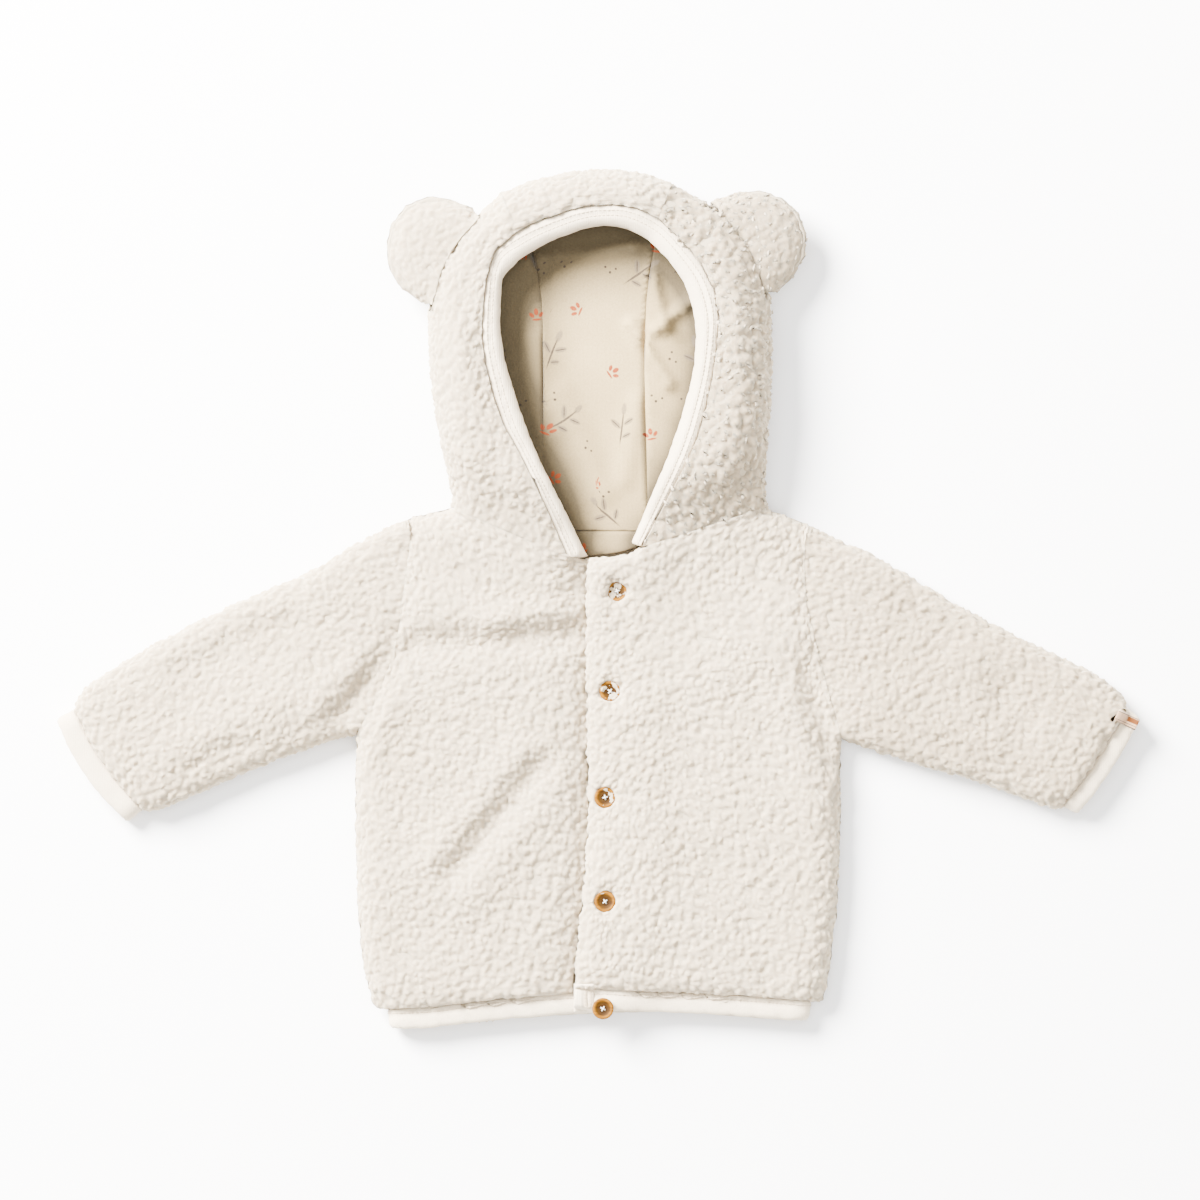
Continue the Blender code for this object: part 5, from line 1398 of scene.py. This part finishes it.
PRINTS = [  # name, shapes, cell in metres, jitter, share of cells kept, offset in metres, ink, strength
    ("sprigs", SPRIG, 0.046, 0.6, 0.85, 0.0, (0.085, 0.065, 0.045), 0.6),
    ("veins", VEINS, 0.046, 0.6, 0.85, 0.0, (0.03, 0.02, 0.013), 0.8),
    ("buds", BUDS, 0.034, 0.7, 0.5, 0.013, (0.16, 0.024, 0.002), 1.0),
    ("dots", DOTS, 0.026, 0.8, 0.3, 0.029, (0.03, 0.02, 0.012), 1.0)]


def motif_group(name, shapes, cell, jitter, kept):
    """A mask of one motif, scattered over cells of a size in metres, each with its own turn."""
    tree, given, out = new_group(name, "ShaderNodeTree", [("Vector", "Vector", None)], [("Mask", "Float")])
    cells = put(tree, "ShaderNodeTexVoronoi", {"Vector": given[0], "Scale": 1 / cell, "Randomness": jitter},
                voronoi_dimensions="2D")
    away = put(tree, "ShaderNodeVectorMath", {0: given[0], 1: cells.outputs["Position"]}, operation="SUBTRACT")
    local = scaled(tree, away.outputs[0], 1 / MM)
    lot = put(tree, "ShaderNodeSeparateColor", {"Color": cells.outputs["Color"]})
    angle = solve(tree, "MULTIPLY", solve(tree, "SUBTRACT", lot.outputs[0], 0.5), 2.4)
    turned = put(tree, "ShaderNodeVectorRotate", {"Vector": local, "Angle": angle}, rotation_type="Z_AXIS")
    masks = [ellipse(tree, turned.outputs[0], *shape) for shape in shapes]
    shown = solve(tree, "LESS_THAN", lot.outputs[1], kept)
    tree.links.new(solve(tree, "MULTIPLY", merged_masks(tree, masks), shown), out["Mask"])
    return tree


def print_material():
    made, tree, shader = new_material("printed_jersey")
    where = put(tree, "ShaderNodeUVMap", uv_map="cloth").outputs[0]
    colour, height = knitted(tree, (0.135, 0.099, 0.048), (0.11, 0.08, 0.037), 420.0)
    # Painted shade and light: the lining's colour is scaled down where the hood hides the sky and the window,
    # and up where it is open.
    colour = scaled(tree, colour, mapped(tree, stored(tree, "open"), 0.65, 1.0, 0.5, 2.6))
    ink = speckle(tree, where, 900.0, 2.0)
    for name, shapes, cell, jitter, kept, offset, tint, strength in PRINTS:
        moved = put(tree, "ShaderNodeMapping", {"Vector": where, "Location": (offset, offset * 0.7, 0)})
        motif = motif_group(name, shapes, cell, jitter, kept)
        mask = put(tree, "ShaderNodeGroup", {0: moved.outputs[0]}, node_tree=motif).outputs[0]
        ink_wear_and_dish_shade = solve(tree, "MULTIPLY", mask, solve(tree, "MULTIPLY", solve(tree, "ADD", ink, 0.5), strength))
        mix = put(tree, "ShaderNodeMix", {0: ink_wear_and_dish_shade, 6: colour, 7: (*tint, 1)}, data_type="RGBA")
        colour = mix.outputs[2]
    dress(tree, shader, colour, height, 0.4, 0.0002)
    cloth_shader(shader, 0.12)
    return made


PRINT = print_material()

# %% Lay the lining
LINING_FOLDS = np.array([  # from x, y to x, y, width, height in mm
    (30.1, 190.0, 37.0, 158.0, 3.2, 4.2),
    (54.0, 174.0, 31.0, 156.0, 3.4, 4.0),
    (18.0, 160.0, 40.0, 125.0, 3.6, 4.2),
    (38.0, 180.0, 50.0, 150.0, 5.0, -1.2),
    (-46.0, 196.6, 20.0, 204.0, 4.0, 3.4),
    (-22.0, 120.0, 2.0, 62.0, 8.0, 2.6),
    (22.0, 114.0, 14.0, 70.0, 6.0, 2.2),
    (-38.0, 150.0, -24.0, 100.0, 7.0, 2.0),
])
LINING_PIECES = {"hood_lining_right": (0.105, 0.24), "hood_lining_left": (0.12, 0.24),
                 "hood_lining_centre": (0.062, 0.30), "back_neck_lining": (0.048, 0.016)}
LINING_FINE, LINING_WALL = 4.6 * MM, 0.7 * MM
HOOD_FLOOR = 0.011  # metres over the table
TOWARDS_WINDOW, WINDOW_WEIGHT = Vector((-0.74, 0.67, 0.0)), 1.3
SKY_RISES, SKY_TURNS = (0.35, 0.75, 1.1), 10  # radians from upright, and how many ways round


def unroll(mesh):
    """A UV map in metres that follows the hood's sides up from its floor."""
    layer = mesh.uv_layers.new(name="cloth")
    points = np.array([v.co for v in mesh.vertices])
    rise = np.maximum(points[:, 2] - HOOD_FLOOR, 0)
    flat = np.stack([points[:, 0] + np.sign(points[:, 0]) * rise, points[:, 1]], axis=1)
    corners = np.zeros(len(mesh.loops), int)
    mesh.loops.foreach_get("vertex_index", corners)
    layer.data.foreach_set("uv", flat[corners].astype(np.float32).ravel())


def sky_share_for_painted_shade(points):
    """How much of the sky each place sees, from 0 to 1, where the window's side counts for more: the measure of
    the lining's painted shade.
    """
    ways = [Vector((math.cos(t) * math.sin(a), math.sin(t) * math.sin(a), math.cos(a)))
            for a in SKY_RISES for t in np.linspace(0, 2 * math.pi, SKY_TURNS, endpoint=False)]
    weights = [1 + WINDOW_WEIGHT * way.dot(TOWARDS_WINDOW) for way in ways]
    start = Vector((0, 0, 5 * MM))
    seen = []
    for point in points:
        free = [WHOLE.ray_cast(Vector(point) + start, way)[0] is None for way in ways]
        seen.append(sum(weight for weight, is_free in zip(weights, free) if is_free))
    return np.array(seen) / sum(weights)



def softened(values, mesh, times=12):
    """Evens out values over a mesh's neighbouring corners."""
    ends = np.array([e.vertices[:] for e in mesh.edges])
    for _ in range(times):
        total, count = values.copy(), np.ones(len(values))
        for a, b in (ends.T, ends.T[::-1]):
            np.add.at(total, a, values[b])
            np.add.at(count, a, 1)
        values = total / count
    return values.astype(np.float32)


for name, (width, length) in LINING_PIECES.items():
    bm = merged(name)
    keep_only(bm, [f for f in bm.faces if not is_touched(f)])
    refine(bm, LINING_FINE)
    relax(bm, 8)
    widen(bm, SEAM_REACH)
    points, normals = as_arrays(bm)
    for vertex, height, up in zip(bm.verts, fold_heights(pattern_of(points), LINING_FOLDS), normals[:, 2]):
        vertex.co.z += height * MM * max(up, 0) * (0 if vertex.is_boundary else 1)
    piece = to_object(bm, "print_" + name)
    thick(piece, LINING_WALL)
    unroll(piece.data)
    # The lining's painted shade: how much sky each place sees.
    store(piece.data, "open", softened(sky_share_for_painted_shade([v.co for v in piece.data.vertices]), piece.data))
    piece.data.materials.append(PRINT)
    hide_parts(name)
    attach(piece, "root")

# %% [markdown]
# ## Ribbon tab
# A short folded ribbon is caught in the left cuff's seam.
# Its stripes are drawn by a stepped colour ramp across its own width.

# %% Woven stripes
PEACH, BROWN, EDGE_PEACH = (0.42, 0.27, 0.16), (0.07, 0.045, 0.03), (0.50, 0.38, 0.26)
STRIPES = [(0.0, BROWN), (0.07, PEACH), (0.2, BROWN), (0.26, PEACH), (0.84, BROWN), (0.9, EDGE_PEACH)]
BLOCK_COLOUR = (0.12, 0.034, 0.003, 1)
TAB_TURN, TAB_HALF = math.radians(-23), 3.6 * MM
BLOCK_FROM, BLOCK_TO = -0.6 * MM, 0.4 * MM  # along the ribbon: where the block fades in


def ribbon_material():
    made, tree, shader = new_material("striped_ribbon")
    low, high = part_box("cuff_tab")
    local = put(tree, "ShaderNodeMapping", {
        "Vector": on_object(tree), "Location": tuple((low + high) / 2), "Rotation": (0, 0, TAB_TURN)},
        vector_type="TEXTURE").outputs[0]
    split = put(tree, "ShaderNodeSeparateXYZ", {"Vector": local})
    across = mapped(tree, split.outputs["Y"], -TAB_HALF, TAB_HALF)
    outer = mapped(tree, split.outputs["X"], BLOCK_FROM, BLOCK_TO)
    block = solve(tree, "MULTIPLY", outer, solve(tree, "COMPARE", across, 0.6, 0.2))
    stripes = ramp(tree, across, STRIPES, "CONSTANT")
    mix = put(tree, "ShaderNodeMix", {0: block, 6: stripes, 7: BLOCK_COLOUR}, data_type="RGBA")
    weave = put(tree, "ShaderNodeTexWave", {"Vector": local, "Scale": 700.0})
    dress(tree, shader, mix.outputs[2], weave.outputs["Fac"], 0.5, 0.0001)
    cloth_shader(shader, 0.1)
    return made


tab_bm = merged("cuff_tab")
refine(tab_bm, 1.2 * MM)
relax(tab_bm, 1)
tab = to_object(tab_bm, "ribbon_tab")
tab.data.materials.append(ribbon_material())
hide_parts("cuff_tab")
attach(tab, "root")
print("tab", triangles(tab))

# %% [markdown]
# ## The end
# The helpers go.

# %% The end
for thing in list(LOCKS.objects) + [STITCH]:
    bpy.data.objects.remove(thing)
bpy.data.collections.remove(LOCKS)
